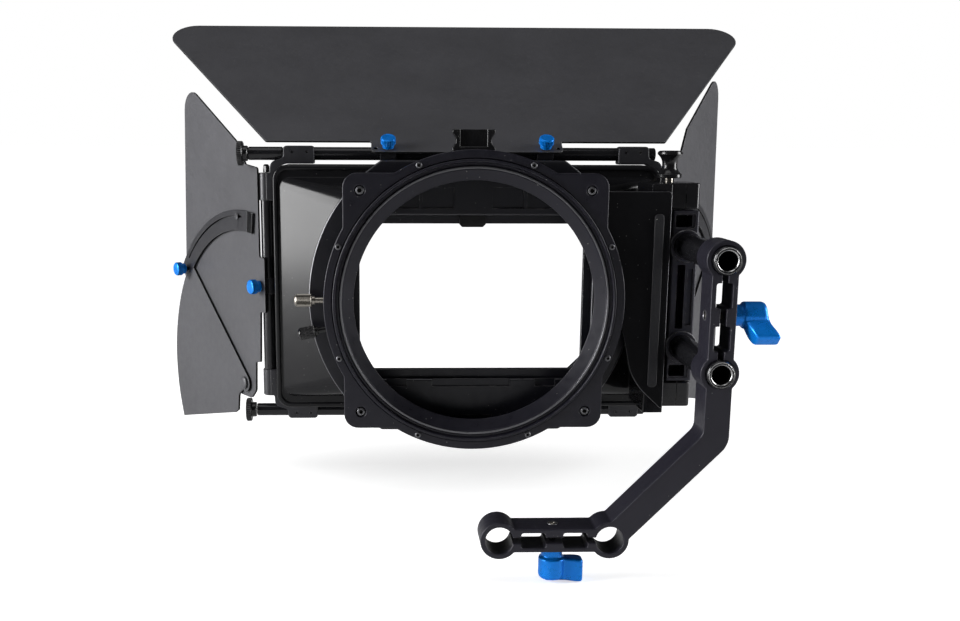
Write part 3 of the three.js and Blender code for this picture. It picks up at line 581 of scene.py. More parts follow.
def arm_outline():
    top = (ROD.x, ROD.z)
    lower = (ROD.x, ROD.z - PITCH)
    left_boss = (CLAMP.x - PITCH / 2, CLAMP.z)
    right_boss = (CLAMP.x + PITCH / 2, CLAMP.z)
    open_bar = math.degrees(math.acos(ARM_HALF / BOSS_R))
    open_jaw = math.degrees(math.asin(JAW_HALF / BOSS_R))
    mitre = ARM_HALF * math.tan(math.pi / 8)
    slant = ARM_HALF / math.sqrt(2)
    inner = (ROD.x - ARM_HALF, BEND_Z + mitre)
    outer = (ROD.x + ARM_HALF, BEND_Z - mitre)
    inner_end = (right_boss[0] - slant, CLAMP.z + slant)
    outer_end = (right_boss[0] + slant, CLAMP.z - slant)
    enter = chord(right_boss, BOSS_R, inner, inner_end)[0]
    leave = chord(right_boss, BOSS_R, outer, outer_end)[0]

    def soft(points, radius=3.0):
        """An arc whose two ends run into straight sides with fillets."""
        return [(*points[0], radius), *points[1:-1], (*points[-1], radius)]

    outline = soft(arc(top, BOSS_R, -open_bar, 180 + open_bar, 40))
    outline += soft(arc(lower, BOSS_R, 180 - open_bar, 180 + open_bar, 12))
    outline += [(*inner, 8)]
    outline += soft(arc(right_boss, BOSS_R, enter, 180 - open_jaw, 6))
    outline += soft(arc(left_boss, BOSS_R, open_jaw, 360 - open_jaw, 40))
    outline += soft(arc(right_boss, BOSS_R, 180 + open_jaw, 360 + leave, 20))
    outline += [(*outer, 12)]
    outline += soft(arc(lower, BOSS_R, -open_bar, open_bar, 12))
    return rounded(outline, 0, 5)


def support_arm():
    upright = [(ROD.x - v, ROD.z - PITCH / 2 + u) for u, v in split_bores()]
    level = [(CLAMP.x + u, CLAMP.z + v) for u, v in split_bores()]
    bar_mesh = slab(arm_outline(), ARM_LOW.y, ARM_HIGH.y, [upright, level], edge=0.55)
    middle = ROD.z - PITCH / 2
    cross = bar("x", 2.2, ROD.x - 9, ROD.x + 9, (CLAMP.y, middle), 32)
    upright_hole = bar("z", 2.2, CLAMP.z - 9, CLAMP.z + 9, (CLAMP.x, CLAMP.y), 32)
    piece("bent_arm_bar", cut(bar_mesh, cross, upright_hole), "arm", "arm_anodised", nodes=["bent_arm"])
    ends = {"side": ((-1, 0, 0), (ROD.x - ARM_HALF - 0.2, CLAMP.y, middle)),
            "top": ((0, 0, 1), (CLAMP.x, CLAMP.y, CLAMP.z + JAW_HALF + 0.2))}
    for name, (direction, place) in ends.items():
        bush = turned([(2.2, -0.3), (2.9, -0.3), (3.0, -0.1), (2.9, 0.1), (2.4, 0.1), (2.2, -0.1)], 48)
        piece(f"arm_{name}_bush", bush, "arm", "rubbed_and_highlight_edge", along(direction, place), nodes=[])


def lever(sweep):
    """A cast lever about +Y with its hub and a thumb paddle that leans outward by sweep."""
    hub = turned([(0, 0), (5.6, 0), (5.8, 0.3), (5.8, 4.6), (6.4, 5.2), (7.3, 5.8), (7.3, 15.4),
                  (6.7, 17.0), (5.2, 17.7),
                  (0, 17.8)], 64)
    outline = rounded([(-4, -4.4), (7.5, -3.7, 4), (12.5, -4.7, 3), (17.1, -4.3, 2.4), (17.1, 4.3, 2.4),
                       (12.5, 4.7, 3),
                       (7.5, 3.7, 4), (-4, 4.4)], 0, 6)
    paddle = slab(outline, 5.4, 18.4, edge=1.2)
    blank = join(hub, paddle)
    holder = bpy.data.objects.new("work", blank)
    bpy.context.scene.collection.objects.link(holder)
    remesh = holder.modifiers.new("cast", "REMESH")
    remesh.mode = "VOXEL"
    remesh.voxel_size = 0.38
    soften = holder.modifiers.new("soft", "SMOOTH")
    soften.factor = 0.6
    soften.iterations = 7
    mesh = bpy.data.meshes.new_from_object(holder.evaluated_get(bpy.context.evaluated_depsgraph_get()))
    bpy.data.objects.remove(holder)
    for vertex in mesh.vertices:
        reach = max(0.0, vertex.co.x - 4) / 13.4
        vertex.co.y += sweep * reach**1.5
    screw_hole = bar("y", 2.2, -1, 5.4, (0, 0), 32)
    return cut(mesh, screw_hole)


def clamp_levers():
    side = along((1, 0, 0), (ROD.x + ARM_HALF + GAP, CLAMP.y, ROD.z - PITCH / 2))
    turn = Matrix.Rotation(math.radians(46), 4, "Y")
    piece("upper_lever_cast", lever(4.5), "upper_lever", "blue_anodised", side @ turn,
          ["upper_clamp_lever"], sharp=60)
    below = along((0, 0, -1), (CLAMP.x, CLAMP.y, CLAMP.z - JAW_HALF - GAP))
    piece("lower_lever_cast", lever(1.0), "lower_lever", "blue_anodised", below, ["lower_clamp_lever"],
          sharp=60)
    for name, body in (("upper_clamp_screw", "upper_lever"), ("lower_clamp_screw", "lower_lever")):
        low, high = box(name)
        length = max(high - low)
        start, direction = ((low.x, CLAMP.y, ROD.z - PITCH / 2), (1, 0, 0))
        if body == "lower_lever":
            start, direction = ((CLAMP.x, CLAMP.y, high.z), (0, 0, -1))
        profile = [(0, 0.25), (0.8, 0.25), (0.9, 0), (1.5, 0), (1.9, 0.4)]
        profile += [(1.9 - 0.22 * (i % 2), 0.8 + 0.35 * i) for i in range(int((length - 2) / 0.35))]
        profile += [(1.9, length - 0.4), (1.6, length), (0, length)]
        piece(f"{name}_thread", turned(profile, 32), body, "nickel", along(direction, start), [name])


def rods():
    for name, height in (("upper_rod", ROD.z), ("lower_rod", ROD.z - PITCH)):
        low, high = ROD_LOW.y, ROD_HIGH.y
        inner = ROD_R - 2
        # a rubbed inner rim and a rubbed line round the end face
        profile = [(0, low + 16), (inner - 0.3, low + 16), (inner - 0.3, low + 0.5),
                   (inner + 0.1, low + 0.05)]
        profile += [(inner + 0.2, low), (6.5, low), (6.65, low + 0.12), (6.9, low), (7.1, low),
                    (ROD_R, low + 0.5)]
        profile += [(ROD_R, high - 0.8), (ROD_R - 0.8, high), (inner + 0.4, high), (inner, high - 0.4)]
        profile += [(inner, high - 5), (0, high - 5)]

        def rim(face, rear=low):
            radius = math.hypot(face.center.x, face.center.z)
            return face.center.y < rear + 0.4 and (radius < inner + 0.15 or 6.5 < radius < 6.9)

        # painted shade: the inside of the tube's bore is near black
        def hollow(face, rear=low):
            radius = math.hypot(face.center.x, face.center.z)
            return rear + 0.6 < face.center.y < rear + 17 and radius < inner

        piece(f"{name}_tube", turned(profile, 96), "carriage", "tube_black",
              Matrix.Translation((ROD.x, 0, height)),
              [name], accents=[("bright_edge", rim), ("painted_shade_black", hollow)])


# ------------------------------------------------------------------ hinge

BARREL_R = 5.8
PIN_R = 2.5
PIN_HOLE_R = 2.68
PIN_ENGAGED = 8.0
KNUCKLE_Z = (51.5, 66.5)
SPINE_X = (100.5, 112.2)
BLOCK_X = (117.4, 132.7)
SOCKET_R = 9.7


def hinge_block():
    left, right = BLOCK_X
    rear = BLOCK_LOW.y
    high_z = BLOCK_HIGH.z
    sockets = [ROD.z, ROD.z - PITCH]
    outline = rounded([(left, rear, 1.2), (right, rear, 1.2), (right, PIVOT.y, 2.5), (left, PIVOT.y, 1.2)],
                      0, 4)
    body = flat_slab(outline, -high_z, high_z, edge=0.6)
    barrel = bar("z", BARREL_R, 0.05 - high_z, high_z - 0.05, (PIVOT.x, PIVOT.y), 64)
    rim = [(0, 0), (SOCKET_R - 1.1, 0), (SOCKET_R - 0.5, 0.15), (SOCKET_R, 0.8), (SOCKET_R, 17), (0, 17)]
    collars = [put(turned(rim, 96), Matrix.Translation((ROD.x, rear - 1.2, z))) for z in sockets]
    whole = join(body, barrel, *collars)

    def pocket(x0, x1, z0, z1, depth, corner=0.8):
        outline = [(x + (x0 + x1) / 2, z + (z0 + z1) / 2) for x,
                   z in rectangle((x1 - x0) / 2, (z1 - z0) / 2, corner)]
        return slab(outline, rear - 3, rear + depth, edge=0.2)

    tools = [bar("y", BORE_R, rear - 3, 42, (ROD.x, z), 80) for z in sockets]
    for side in (-1, 1):
        tools.append(pocket(119, 128.6, *sorted((side * 41, side * 48)), 12))
        tools.append(pocket(118.4, 130.4, *sorted((side * 40.2, side * 48.8)), 0.8, 1.2))
        tools.append(bar("z", PIN_HOLE_R, *sorted((side * (high_z - PIN_ENGAGED - 1), side * (high_z + 1))),
                         (PIVOT.x, PIVOT.y), 40))
    tools += [pocket(121.2, 125.8, -19, 19, 12), pocket(127.4, 130.6, -17, 17, 1.4)]
    # rubbed rims on the socket mouths, and painted shade on the floor of the deep slot
    mouths = [("rubbed_and_highlight_edge", lambda face: face.center.y < rear - 0.2 and sloped(face)),
              ("painted_shade_black", lambda face: face.center.y > rear + 10.5 and abs(face.normal.y) > 0.9
               and abs(face.center.x - 124.5) < 5 and face.center.y < rear + 13)]
    piece("hinge_block_casting", cut(whole, *tools), "carriage", "arm_anodised", nodes=["hinge_block"],
          bevel=0.3,
          accents=mouths)


def hinge_bracket():
    low, high = box("hinge_bracket")
    rear = box("hinge_plate")[1].y + GAP
    front = high.y
    left, right = SPINE_X
    spine = rounded([(left, rear, 0.8), (right, rear, 0.8), (right, front, 1.0), (left + 6.6, front, 1.0),
                     (left, front - 7, 1.0)], 0, 4)
    parts = [flat_slab(spine, 0.05 - high.z, high.z - 0.05, edge=0.5)]
    arm_rear = low.y if low.y > rear + 1 else BLOCK_LOW.y + 0.4
    knuckle = rounded([(left + 6, arm_rear, 1.2), (high.x, arm_rear, 2.6), (high.x, front, 3.0),
                       (left + 6, front, 1.2)],
                      0, 5)
    for z0, z1 in (KNUCKLE_Z, (-KNUCKLE_Z[1], -KNUCKLE_Z[0])):
        parts.append(flat_slab(knuckle, z0, z1, edge=0.8))
    seams = [block((124.2, arm_rear - 1, z0 - 1), (124.6, arm_rear + 1.0, z0 + 16))
             for z0 in (KNUCKLE_Z[0], -KNUCKLE_Z[1])]
    hole = bar("z", PIN_HOLE_R, low.z - 1, high.z + 1, (PIVOT.x, PIVOT.y), 40)
    mesh = cut(join(*parts), hole, *seams)
    piece("hinge_bracket_casting", mesh, "box", "tube_black", nodes=["hinge_bracket"])


def hinge_plate():
    low, high = box("hinge_plate")
    right = high.x
    outline = rounded([(48, 62.5, 0.8), (right, 62.5, 2), (right, -62.5, 1), (right - 1.6, -62.5, 0.6),
                       (92, -46, 40),
                       (84, -6, 20), (48, -6, 0.8)], 0, 10)
    ring_hole = turned([(0, 0), (RING_R, 0), (RING_R, 20), (0, 20)], 160)
    mesh = cut(slab(outline, low.y, high.y, edge=0.5), ring_hole)
    edges = [("rubbed_and_highlight_edge", lambda face: sloped(face) and face.center.y < low.y + 0.5)]
    # painted shade: the plate takes a near-black darker than its anodising, for the shadow it sits in
    piece("hinge_plate_sheet", mesh, "box", "painted_shade_plate", nodes=["hinge_plate"], accents=edges)
    strip = [(x + 104.2, z) for x, z in rectangle(2.7, 50, 2.2)]
    piece("hinge_plate_rib", slab(strip, low.y - 0.9, low.y + 0.3, edge=0.45), "box", "rough_cast", nodes=[])


def pins_and_knob():
    for name, body in (("pull_pin", "pull_pin"), ("lower_hinge_pin", "box")):
        low, high = box(name)
        profile = [(0, low.z), (PIN_R - 0.5, low.z), (PIN_R, low.z + 0.5), (PIN_R, high.z - 0.5),
                   (PIN_R - 0.5, high.z),
                   (0, high.z)]
        piece(f"{name}_ground", turned(profile, 48), body, "nickel",
              along((0, 0, 1), (PIVOT.x, PIVOT.y, 0)), [name])
    low, high = box("pull_knob")
    base, top = low.z, high.z
    wide = (high.x - low.x) / 2
    waist = [(4.4 + (wide - 4.4) * abs(t) ** 2.4, (base + top) / 2 + t * (top - base - 4.2) / 2)
             for t in levels(-1, 1, 16)]
    profile = [(0, base + 0.9), (PIN_R + GAP, base + 0.9), (PIN_R + GAP, base), (wide - 0.5, base),
               (wide, base + 0.5)]
    profile += [(wide, base + 1.5)] + waist + [(wide, top - 1.6), (wide - 0.3, top - 0.7),
                                               (wide - 1.2, top - 0.1)]
    profile += [(4.5, top), (3.8, top - 0.35), (0, top - 0.4)]
    piece("pull_knob_spool", turned(profile, 96), "pull_pin", "knob_black",
          along((0, 0, 1), (PIVOT.x, PIVOT.y, 0)),
          ["pull_knob"])


# ------------------------------------------------------------------ ring plate and lens ring

RING_R = box("lens_ring")[1].x
PLATE_HIGH = box("ring_plate")[1]
DISC_R = PLATE_HIGH.x
EAR = (74.2, 72.6)
SCREW_RADIUS = 83.1


def eared_outline(radius, half_x, half_z, corner, steps=48):
    """A disc with four square ears."""
    points = []
    for quarter in range(4):
        turn = math.radians(90 * quarter)
        wide, tall = (half_x, half_z) if quarter % 2 == 0 else (half_z, half_x)
        side = math.degrees(math.acos(wide / radius))
        first = arc((0, 0), radius, -side, side, steps)
        first = [(*first[0], 3.0), *first[1:-1], (*first[-1], 3.0)]
        for x, z, *size in [*first, (wide, tall, corner)]:
            points.append((x * math.cos(turn) - z * math.sin(turn), x * math.sin(turn) + z * math.cos(turn),
                           *size))
    return rounded(points, 0, 6)


def ring_plate():
    low, high = box("ring_plate")
    corners = [(x * 64.6, z * 63.0) for x in (-1, 1) for z in (1, -1)]
    holes = [circle((0, 0), RING_R + GAP, 192)] + [circle(corner, 2.9, 40) for corner in corners]
    mesh = slab(eared_outline(DISC_R, *EAR, 8), low.y, high.y, holes, edge=0.6)
    piece("ring_plate_body", mesh, "box", "ring_anodised", nodes=["ring_plate"])
    for i, node in enumerate(["ring_plate_screw_1", "ring_plate_screw_2", "ring_plate_screw_3",
                              "ring_plate_screw_4"]):
        place = centre(node)
        deep = box(node)[1].y
        screw = socket_screw(2.55, 1.9, 1.5, 2.0, dome=0.35)
        # painted shade: the hexagon socket is near black
        piece(f"{node}_head", screw, "box", "rubbed_and_highlight_edge",
              along((0, -1, 0), (place.x, deep - 2.6, place.z)), [node],
              accents=[("painted_shade_black", lambda face: in_socket(face, 2.55, 1.9))])
    for i in range(8):
        angle = math.radians(22.5 + 45 * i)
        place = (SCREW_RADIUS * math.cos(angle), low.y + 0.05, SCREW_RADIUS * math.sin(angle))
        screw = socket_screw(1.75, 0.85, 0.9, 0.6, 36, dome=0.35)
        # painted shade: the hexagon socket is near black
        piece(f"ring_screw_{i + 1}", screw, "box", "rubbed_and_highlight_edge", along((0, -1, 0), place), [],
              accents=[("painted_shade_black", lambda face: in_socket(face, 1.75, 0.85))])


BEAD_R = (74.8, 76.5)        # raised bead round the opening


def lens_ring():
    low, high = box("lens_ring")
    front = high.y
    opening = 68.5
    outline = [(RING_R, low.y, 0.5), (RING_R, front, 0.3), (opening, front, 0.2), (opening, 4.1, 0.4),
               (74.6, 0.2, 0.6),
               (75.2, -0.75, 0.4), (76.2, -0.75, 0.4), (76.9, 0.7, 0.4), (78.3, 0.7, 0.4), (78.5, -1.3, 0.3),
               (78.9, low.y, 0.3)]

    # painted highlight: the bead's faces take a lighter metal look, standing for a lit line round the opening
    def painted_bead_highlight(face):
        return BEAD_R[0] < math.hypot(face.center.x, face.center.z) < BEAD_R[1] and face.center.y < -0.3

    piece("lens_ring_turned", turned(rounded(outline, 0, 4), 256), "box", "ring_anodised",
          nodes=["lens_ring"], sharp=50,
          accents=[("rubbed_and_highlight_edge", painted_bead_highlight)])


# ------------------------------------------------------------------ filter stages

BEARING_R = 79.0
LOCK_Y = 12.5
APERTURE = (65.5, 43.0)


def stage_base():
    low, high = box("stage_base")
    edge_outline = eared_outline(high.x, 71.5, 70.2, 7)
    body = slab(edge_outline, low.y, high.y, [circle((0, 0), 72, 192)], edge=0.5)
    clear = box("hinge_plate")[1].y + GAP
    tools = [bar("y", BEARING_R + 0.4, 10, 30, (0, 0), 192), block((47.5, 0, -7), (120, clear, 64)),
             block((76, 0, -64), (120, clear, 64))]
    for node in ("stage_lock_screw", "stage_drag_screw"):
        outward = Vector((centre(node).x, 0, centre(node).z)).normalized()
        hole = turned([(0, 0), (2.3, 0), (2.3, 9), (0, 9)], 32)
        tools.append(put(hole, along(outward, Vector((0, LOCK_Y, 0)) + 78 * outward)))
    piece("stage_base_body", cut(body, *tools), "box", "stage_black", nodes=["stage_base"], bevel=0.2)


def stage_outline():
    radius = STAGE_HIGH.x
    side = math.degrees(math.asin(STAGE_HIGH.z / radius))
    right = arc((0, 0), radius, -side, side, 64)
    right = [(*right[0], 2.0), *right[1:-1], (*right[-1], 2.0)]
    return rounded(right + [(-x, -z, *size) for x, z, *size in right], 0, 4)


def rotating_stage():
    low, high = STAGE_LOW, STAGE_HIGH
    disc_rear = box("stage_base")[1].y + GAP
    disc = slab(stage_outline(), disc_rear, high.y, [chamfered(70, 48, 7)], edge=1.0)
    spigot = turned([(BEARING_R - 3, low.y), (BEARING_R - 0.4, low.y), (BEARING_R, low.y + 0.4),
                     (BEARING_R, disc_rear + 1),
                     (BEARING_R - 3, disc_rear + 1)], 192)
    tray_low, tray_high = box("filter_tray")
    pull_low = box("tray_pull")[0]
    slot = block((tray_low.x - GAP, pull_low.y + 2.1 - GAP, tray_low.z - GAP),
                 (tray_high.x + GAP, tray_high.y + GAP, 110))
    recesses = []
    for side in (-1, 1):
        for start, end in ((11, 29), (31, 49)):
            low_x, high_x = sorted((side * start, side * end))
            recesses.append(block((low_x, disc_rear - 1, 52), (high_x, disc_rear + 1.3, 64)))
    # notches along the opening's lower edge, and a shallow one at the stage's foot
    for low_x, high_x in ((-23, 23), (38, 50), (-50, -38)):
        recesses.append(block((low_x, disc_rear - 1, -52.5), (high_x, disc_rear + 1.3, -47)))
    recesses.append(block((-12.5, disc_rear - 1, -76), (12.5, disc_rear + 1, -70)))
    mesh = cut(join(disc, spigot), slot, *recesses)

    # painted highlight: the middle facets of the worn rim and opening chamfers are lighter, standing for the
    # bevel's reflection
    def rubbed(face):
        at_opening = abs(face.center.x) < 71.5 and abs(face.center.z) < 49.5
        at_rim = math.hypot(face.center.x, face.center.z) > high.x - 1.3
        return sloped(face) and face.center.y < disc_rear + 1.2 and (at_opening or at_rim)

    piece("rotating_stage_body", mesh, "stage", "stage_black", nodes=["rotating_stage"], bevel=0.25,
          accents=[("rubbed_and_highlight_edge", rubbed)])


def filter_tray():
    low, high = box("filter_tray")
    outline = [(x, z + (low.z + high.z) / 2) for x, z in rectangle(high.x, (high.z - low.z) / 2, 1.5)]
    mesh = slab(outline, low.y, high.y, [chamfered(*APERTURE, 7)], edge=0.35)
    # painted highlight: the rear chamfers are lighter, as on the stage
    piece("filter_tray_frame", mesh, "tray", "stage_black", nodes=["filter_tray"],
          accents=[("rubbed_and_highlight_edge", lambda face: sloped(face) and face.center.y < low.y + 0.4)])


def tray_pull():
    low, high = box("tray_pull")
    tongue_front = box("filter_tray")[0].y - GAP
    tongue = rounded([(-7.7, 42.8, 0.4), (-6, 41.1, 0.4), (6, 41.1, 0.4), (7.7, 42.8, 0.4), (7.7, 86),
                      (-7.7, 86)])
    grip = rounded([(-12.2, 84, 0.5), (12.2, 84, 0.5), (12.2, 86, 1.2), (9.4, 90, 5), (12.2, 94.6, 1.2),
                    (12.2, high.z, 0.6), (-12.2, high.z, 0.6), (-12.2, 94.6, 1.2), (-9.4, 90, 5),
                    (-12.2, 86, 1.2)], 0, 6)
    grip_mesh = slab(grip, low.y, high.y, edge=0.5)
    recess = block((-8, low.y - 2, 86.5), (8, low.y + 1.8, high.z + 1), 0.6)
    mesh = join(slab(tongue, tongue_front - 1.5, tongue_front, edge=0.3), cut(grip_mesh, recess))
    piece("tray_pull_grip", mesh, "tray", "knob_black", nodes=["tray_pull"], bevel=0.2)


def stage_screws():
    for node, body, look in (("stage_lock_screw", "lock_screw", "nickel"),
                             ("stage_drag_screw", "drag_screw", "knob_black")):
        outward = Vector((centre(node).x, 0, centre(node).z)).normalized()
        start = Vector((0, LOCK_Y, 0)) + (BEARING_R + 0.6) * outward
        profile = [(0, 0), (1.4, 0), (1.8, 0.4), (1.8, 11.2), (2.6, 11.4), (2.6, 12.9), (3.4, 13),
                   (3.65, 13.3)]
        profile += [(3.65, h) for h in levels(13.6, 21.4, 26)]
        profile += [(3.6, 21.8), (3.1, 22.6), (2.2, 23.1), (1.2, 23.2), (0, 23.2)]
        if body == "lock_screw":
            ripple = straight_knurl(26, 0.3, 13.5, 21.5)
        else:
            ripple = diamond_knurl(16, 0.34, 4.4, 13.5, 21.5)
        piece(f"{node}_knurled", turned(profile, 104, ripple), body, look, along(outward, start), [node])


# ------------------------------------------------------------------ hood

HOOD_WALL = 2.6
RIM_REAR = 63.0
RIM = 4.5
NECK_Z = 68.0
HOOD_BACK = (76.0, 60.0)


def hood():
    half_x, half_z = HOOD_HIGH.x, HOOD_HIGH.z
    rear, front = HOOD_LOW.y, HOOD_HIGH.y
    mouth_x, mouth_z = half_x - RIM, NECK_Z
    lip_z = half_z - RIM
    back_x, back_z = HOOD_BACK
    wall = HOOD_WALL
    # half width, half height, corner radius and depth of each ring, over the outside and back inside
    sections = [
        (72, 50, 7, rear), (back_x - 3, back_z - 3, 10, rear), (back_x - 1.2, back_z - 1.2, 11, rear + 0.4),
        (back_x, back_z, 12, rear + 1.6),
        (back_x + (mouth_x - back_x) * 0.5, back_z + (mouth_z - back_z) * 0.5, 9, (rear + RIM_REAR) / 2),
        (mouth_x - 1.2, mouth_z - 0.4, 6.5, RIM_REAR - 1.2),
        (mouth_x - 0.4, mouth_z - 0.1, 6.0, RIM_REAR - 0.3),
        (mouth_x + 0.5, mouth_z + 0.4, 6.0, RIM_REAR), (mouth_x + 1.3, lip_z + 1.2, 6.6, RIM_REAR),
        (mouth_x + 1.6, lip_z + 1.5, 6.8, RIM_REAR - 0.7), (mouth_x + 2.4, lip_z + 2.4, 7.4, RIM_REAR - 0.9),
        (half_x - 0.9, half_z - 0.9, 8.2, RIM_REAR - 0.8), (half_x - 0.2, half_z - 0.2, 8.8, RIM_REAR - 0.1),
        (half_x, half_z, 9, RIM_REAR + 0.8), (half_x, half_z, 9, front - 1),
        (half_x - 0.3, half_z - 0.3, 8.7, front - 0.3),
        (half_x - 1, half_z - 1, 8, front), (mouth_x - wall + 1, mouth_z - wall + 1, 6.8, front),
        (mouth_x - wall + 0.2, mouth_z - wall + 0.2, 6, front - 0.5),
        (mouth_x - wall, mouth_z - wall, 6, front - 1.2),
        (mouth_x - wall, mouth_z - wall, 6, RIM_REAR + 1), (back_x - wall, back_z - wall, 9, rear + wall + 1),
        (back_x - wall - 1.5, back_z - wall - 1.5, 8, rear + wall), (72, 50, 7, rear + wall),
    ]
    rings = [[(x, y, z) for x, z in rectangle(wide, tall, corner, 10)] for wide, tall, corner, y in sections]
    piece("hood_moulding", loft(rings, closed=True), "box", "hood_gloss", nodes=["hood"], sharp=55)


# ------------------------------------------------------------------ flag frame


def tube(name, body="box"):
    low, high = box(name)
    size = high - low
    axis = max(range(3), key=lambda i: size[i])
    radius = min(size) / 2
    middle = (low + high) / 2
    length = size[axis]
    start = middle.copy()
    start[axis] = low[axis]
    direction = [0, 0, 0]
    direction[axis] = 1
    return radius, length, along(direction, start)


def tubes():
    for name in ("top_tube", "bottom_tube", "left_tube", "right_tube"):
        radius, length, matrix = tube(name)
        profile = [(0, 1), (2.6, 1), (2.6, 0), (radius - 0.4, 0), (radius, 0.4), (radius, length - 0.4)]
        profile += [(radius - 0.4, length), (2.6, length), (2.6, length - 1), (0, length - 1)]
        piece(f"{name}_bar", turned(profile, 64), "box", "tube_black", matrix, [name])
    radius, length, matrix = tube("top_tube_sleeve")
    profile = [(0, 0), (radius - 0.4, 0), (radius, 0.4), (radius, length - 0.4), (radius - 0.4, length),
               (0, length)]
    piece("top_tube_sleeve_turned", turned(profile, 64), "box", "tube_black", matrix, ["top_tube_sleeve"])
    for name in ("left_tube_nut", "right_tube_nut"):
        radius, length, matrix = tube(name)
        rings = [hexagon(radius * 0.94, 0, 36), hexagon(radius, 0.3, 36), hexagon(radius, length - 1.2, 36)]
        rings += [ring_at(radius * 0.8, length - 0.9, 36), ring_at(radius * 0.62, length - 0.2, 36),
                  ring_at(0.7, length, 36)]
        piece(f"{name}_hex", loft(rings), "box", "knob_black", matrix, [name])
    for name in ("top_tube_knob", "bottom_tube_knob"):
        low, high = box(name)
        place = (low.x, centre(name).y, centre(name).z)
        radius = (high.z - low.z) / 2
        profile = [(0, 0.3), (4.6, 0.3), (5.2, 0), (radius - 0.7, 0), (radius, 0.5), (radius, 1.2),
                   (radius, 2.2), (radius, 3)]
        profile += [(radius - 0.6, 3.5), (4.9, 3.6), (4.7, 3.9), (4.7, 6.0), (4.3, 6.4), (0, 6.4)]
        mesh = turned(profile, 120, straight_knurl(40, 0.35, 0.4, 3.1))
        piece(f"{name}_knurled", mesh, "box", "knob_black", along((1, 0, 0), place), [name])


SLEEVE_Z = (53.4, 70.3)


def bracket(side, tube_z):
    """An elbow that hugs a corner of the rim, bored for a level tube and sleeved for an upright one."""
    up = 1 if tube_z > 0 else -1
    y = TOP_TUBE.y
    half_x, half_z = HOOD_HIGH.x, HOOD_HIGH.z
    tube_x = centre("right_tube").x
    inside = half_z + 0.4
    outside = abs(tube_z) + 4.8
    beside = half_x + 0.4
    outline = [(94, inside, 0.9), (112.5, inside, 4), (beside, 68, 4), (beside, SLEEVE_Z[0], 0.9),
               (tube_x, SLEEVE_Z[0], 0.9), (tube_x, SLEEVE_Z[1], 0.9), (121.6, SLEEVE_Z[1], 0.9),
               (121.2, inside + 1.2, 4.5), (113, inside + 3.6, 2.5), (113, outside, 2.2), (94, outside, 2.2)]
    outline = rounded([(side * x, up * z, size) for x, z, size in outline], 0, 5)
    body = slab(outline, y - 5, y + 5, edge=0.7)
    ends = sorted(up * z for z in SLEEVE_Z)
    profile = [(0, 0), (4.4, 0), (4.75, 0.35), (4.75, ends[1] - ends[0] - 0.35), (4.4, ends[1] - ends[0])]
    sleeve = put(turned([*profile, (0, ends[1] - ends[0])], 64),
                 along((0, 0, 1), (side * tube_x, y, ends[0])))
    bore = sorted((up * (SLEEVE_Z[0] - 3), up * SLEEVE_Z[1]))
    tools = [bar("x", TUBE_R + 0.15, *sorted((side * 90, side * 130)), (y, tube_z), 48),
             bar("z", TUBE_R + 0.15, *bore, (side * tube_x, y), 48),
             slab(rectangle(half_x + GAP, half_z + GAP, 9, 8), y - 6, y + 6, edge=0.1)]
    for x in (98.5, 107.5):
        tools.append(bar("y", 0.8, y - 6, y - 4, (side * x, tube_z + up * 1.2), 20))
    return cut(join(body, sleeve), *tools)


def brackets():
    for name, side, tube_z in (("top_left", -1, TOP_TUBE.z), ("top_right", 1, TOP_TUBE.z),
                               ("bottom_left", -1, BOTTOM_TUBE.z), ("bottom_right", 1, BOTTOM_TUBE.z)):
        piece(f"{name}_bracket_elbow", bracket(side, tube_z), "box", "bracket_black",
              nodes=[f"{name}_bracket"])


# ------------------------------------------------------------------ flags

COLLAR_SEAT = 4.7
# painted shadow: the cut edges of the flags, wings and guides are near black, standing for the shadow gap
# between sheets
PAINTED_EDGE_SHADOW = ("painted_shade_black", lambda face: abs(face.normal.z) < 0.6)


def flag_axes(sheet_node, knob_node, pivot, direction):
    """Local axes of a flag: X along its tube, Y out along its sheet and Z its normal, on the knobs' side."""
    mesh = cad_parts[sheet_node].data
    normal = max(mesh.polygons, key=lambda face: face.area).normal.normalized()
    if normal.dot(centre(knob_node) - pivot) < 0:
        normal = -normal
    direction = Vector(direction)
    outward = normal.cross(direction)
    matrix = Matrix((direction, outward, normal)).transposed().to_4x4()
    return Matrix.Translation(pivot) @ matrix


def local_box(node, matrix):
    """Lowest and highest corner of a node in a flag's own axes."""
    inverse = matrix.inverted() @ TO_ROW.inverted()
    points = [inverse @ vertex.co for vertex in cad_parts[node].data.vertices]
    low = Vector([min(point[i] for point in points) for i in range(3)])
    high = Vector([max(point[i] for point in points) for i in range(3)])
    return low, high


def collar(name, body, matrix, screw_v=0.0):
    low, high = local_box(name, matrix)
    middle = (low.x + high.x) / 2
    ring = turned([(TUBE_R + 0.15, -5), (4.45, -5), (4.75, -4.7), (4.75, 4.7), (4.45, 5),
                   (TUBE_R + 0.15, 5)], 64)
    seat = cut(block((-5, min(-4, screw_v - 2.5), 0), (5, 4, COLLAR_SEAT), 0.3),
               bar("x", TUBE_R + 0.15, -6, 6, (0, 0), 48))
    mesh = cut(join(put(ring, along((1, 0, 0))), seat), bar("z", 1.7, 0, 20, (0, screw_v), 24))
    piece(f"{name}_clip", mesh, body, "bracket_black", matrix @ Matrix.Translation((middle, 0, 0)), [name])


def knob(name, body, matrix):
    low, high = local_box(name, matrix)
    middle = (low + high) / 2
    place = matrix @ Matrix.Translation((middle.x, middle.y, 0)) @ along((0, 0, 1))
    shape = thumb_knob(low.z, high.z, (high.x - low.x) / 2)
    screw = ("knob_black", lambda face: face.center.y < high.z - 7)
    piece(f"{name}_knurled", shape, body, "blue_anodised", place, [name], accents=[screw])


TOP_FLAG_CORNER_X = 212.0   # where the slanted and front edges would meet, before rounding
TOP_FLAG_CORNER_R = 16.5


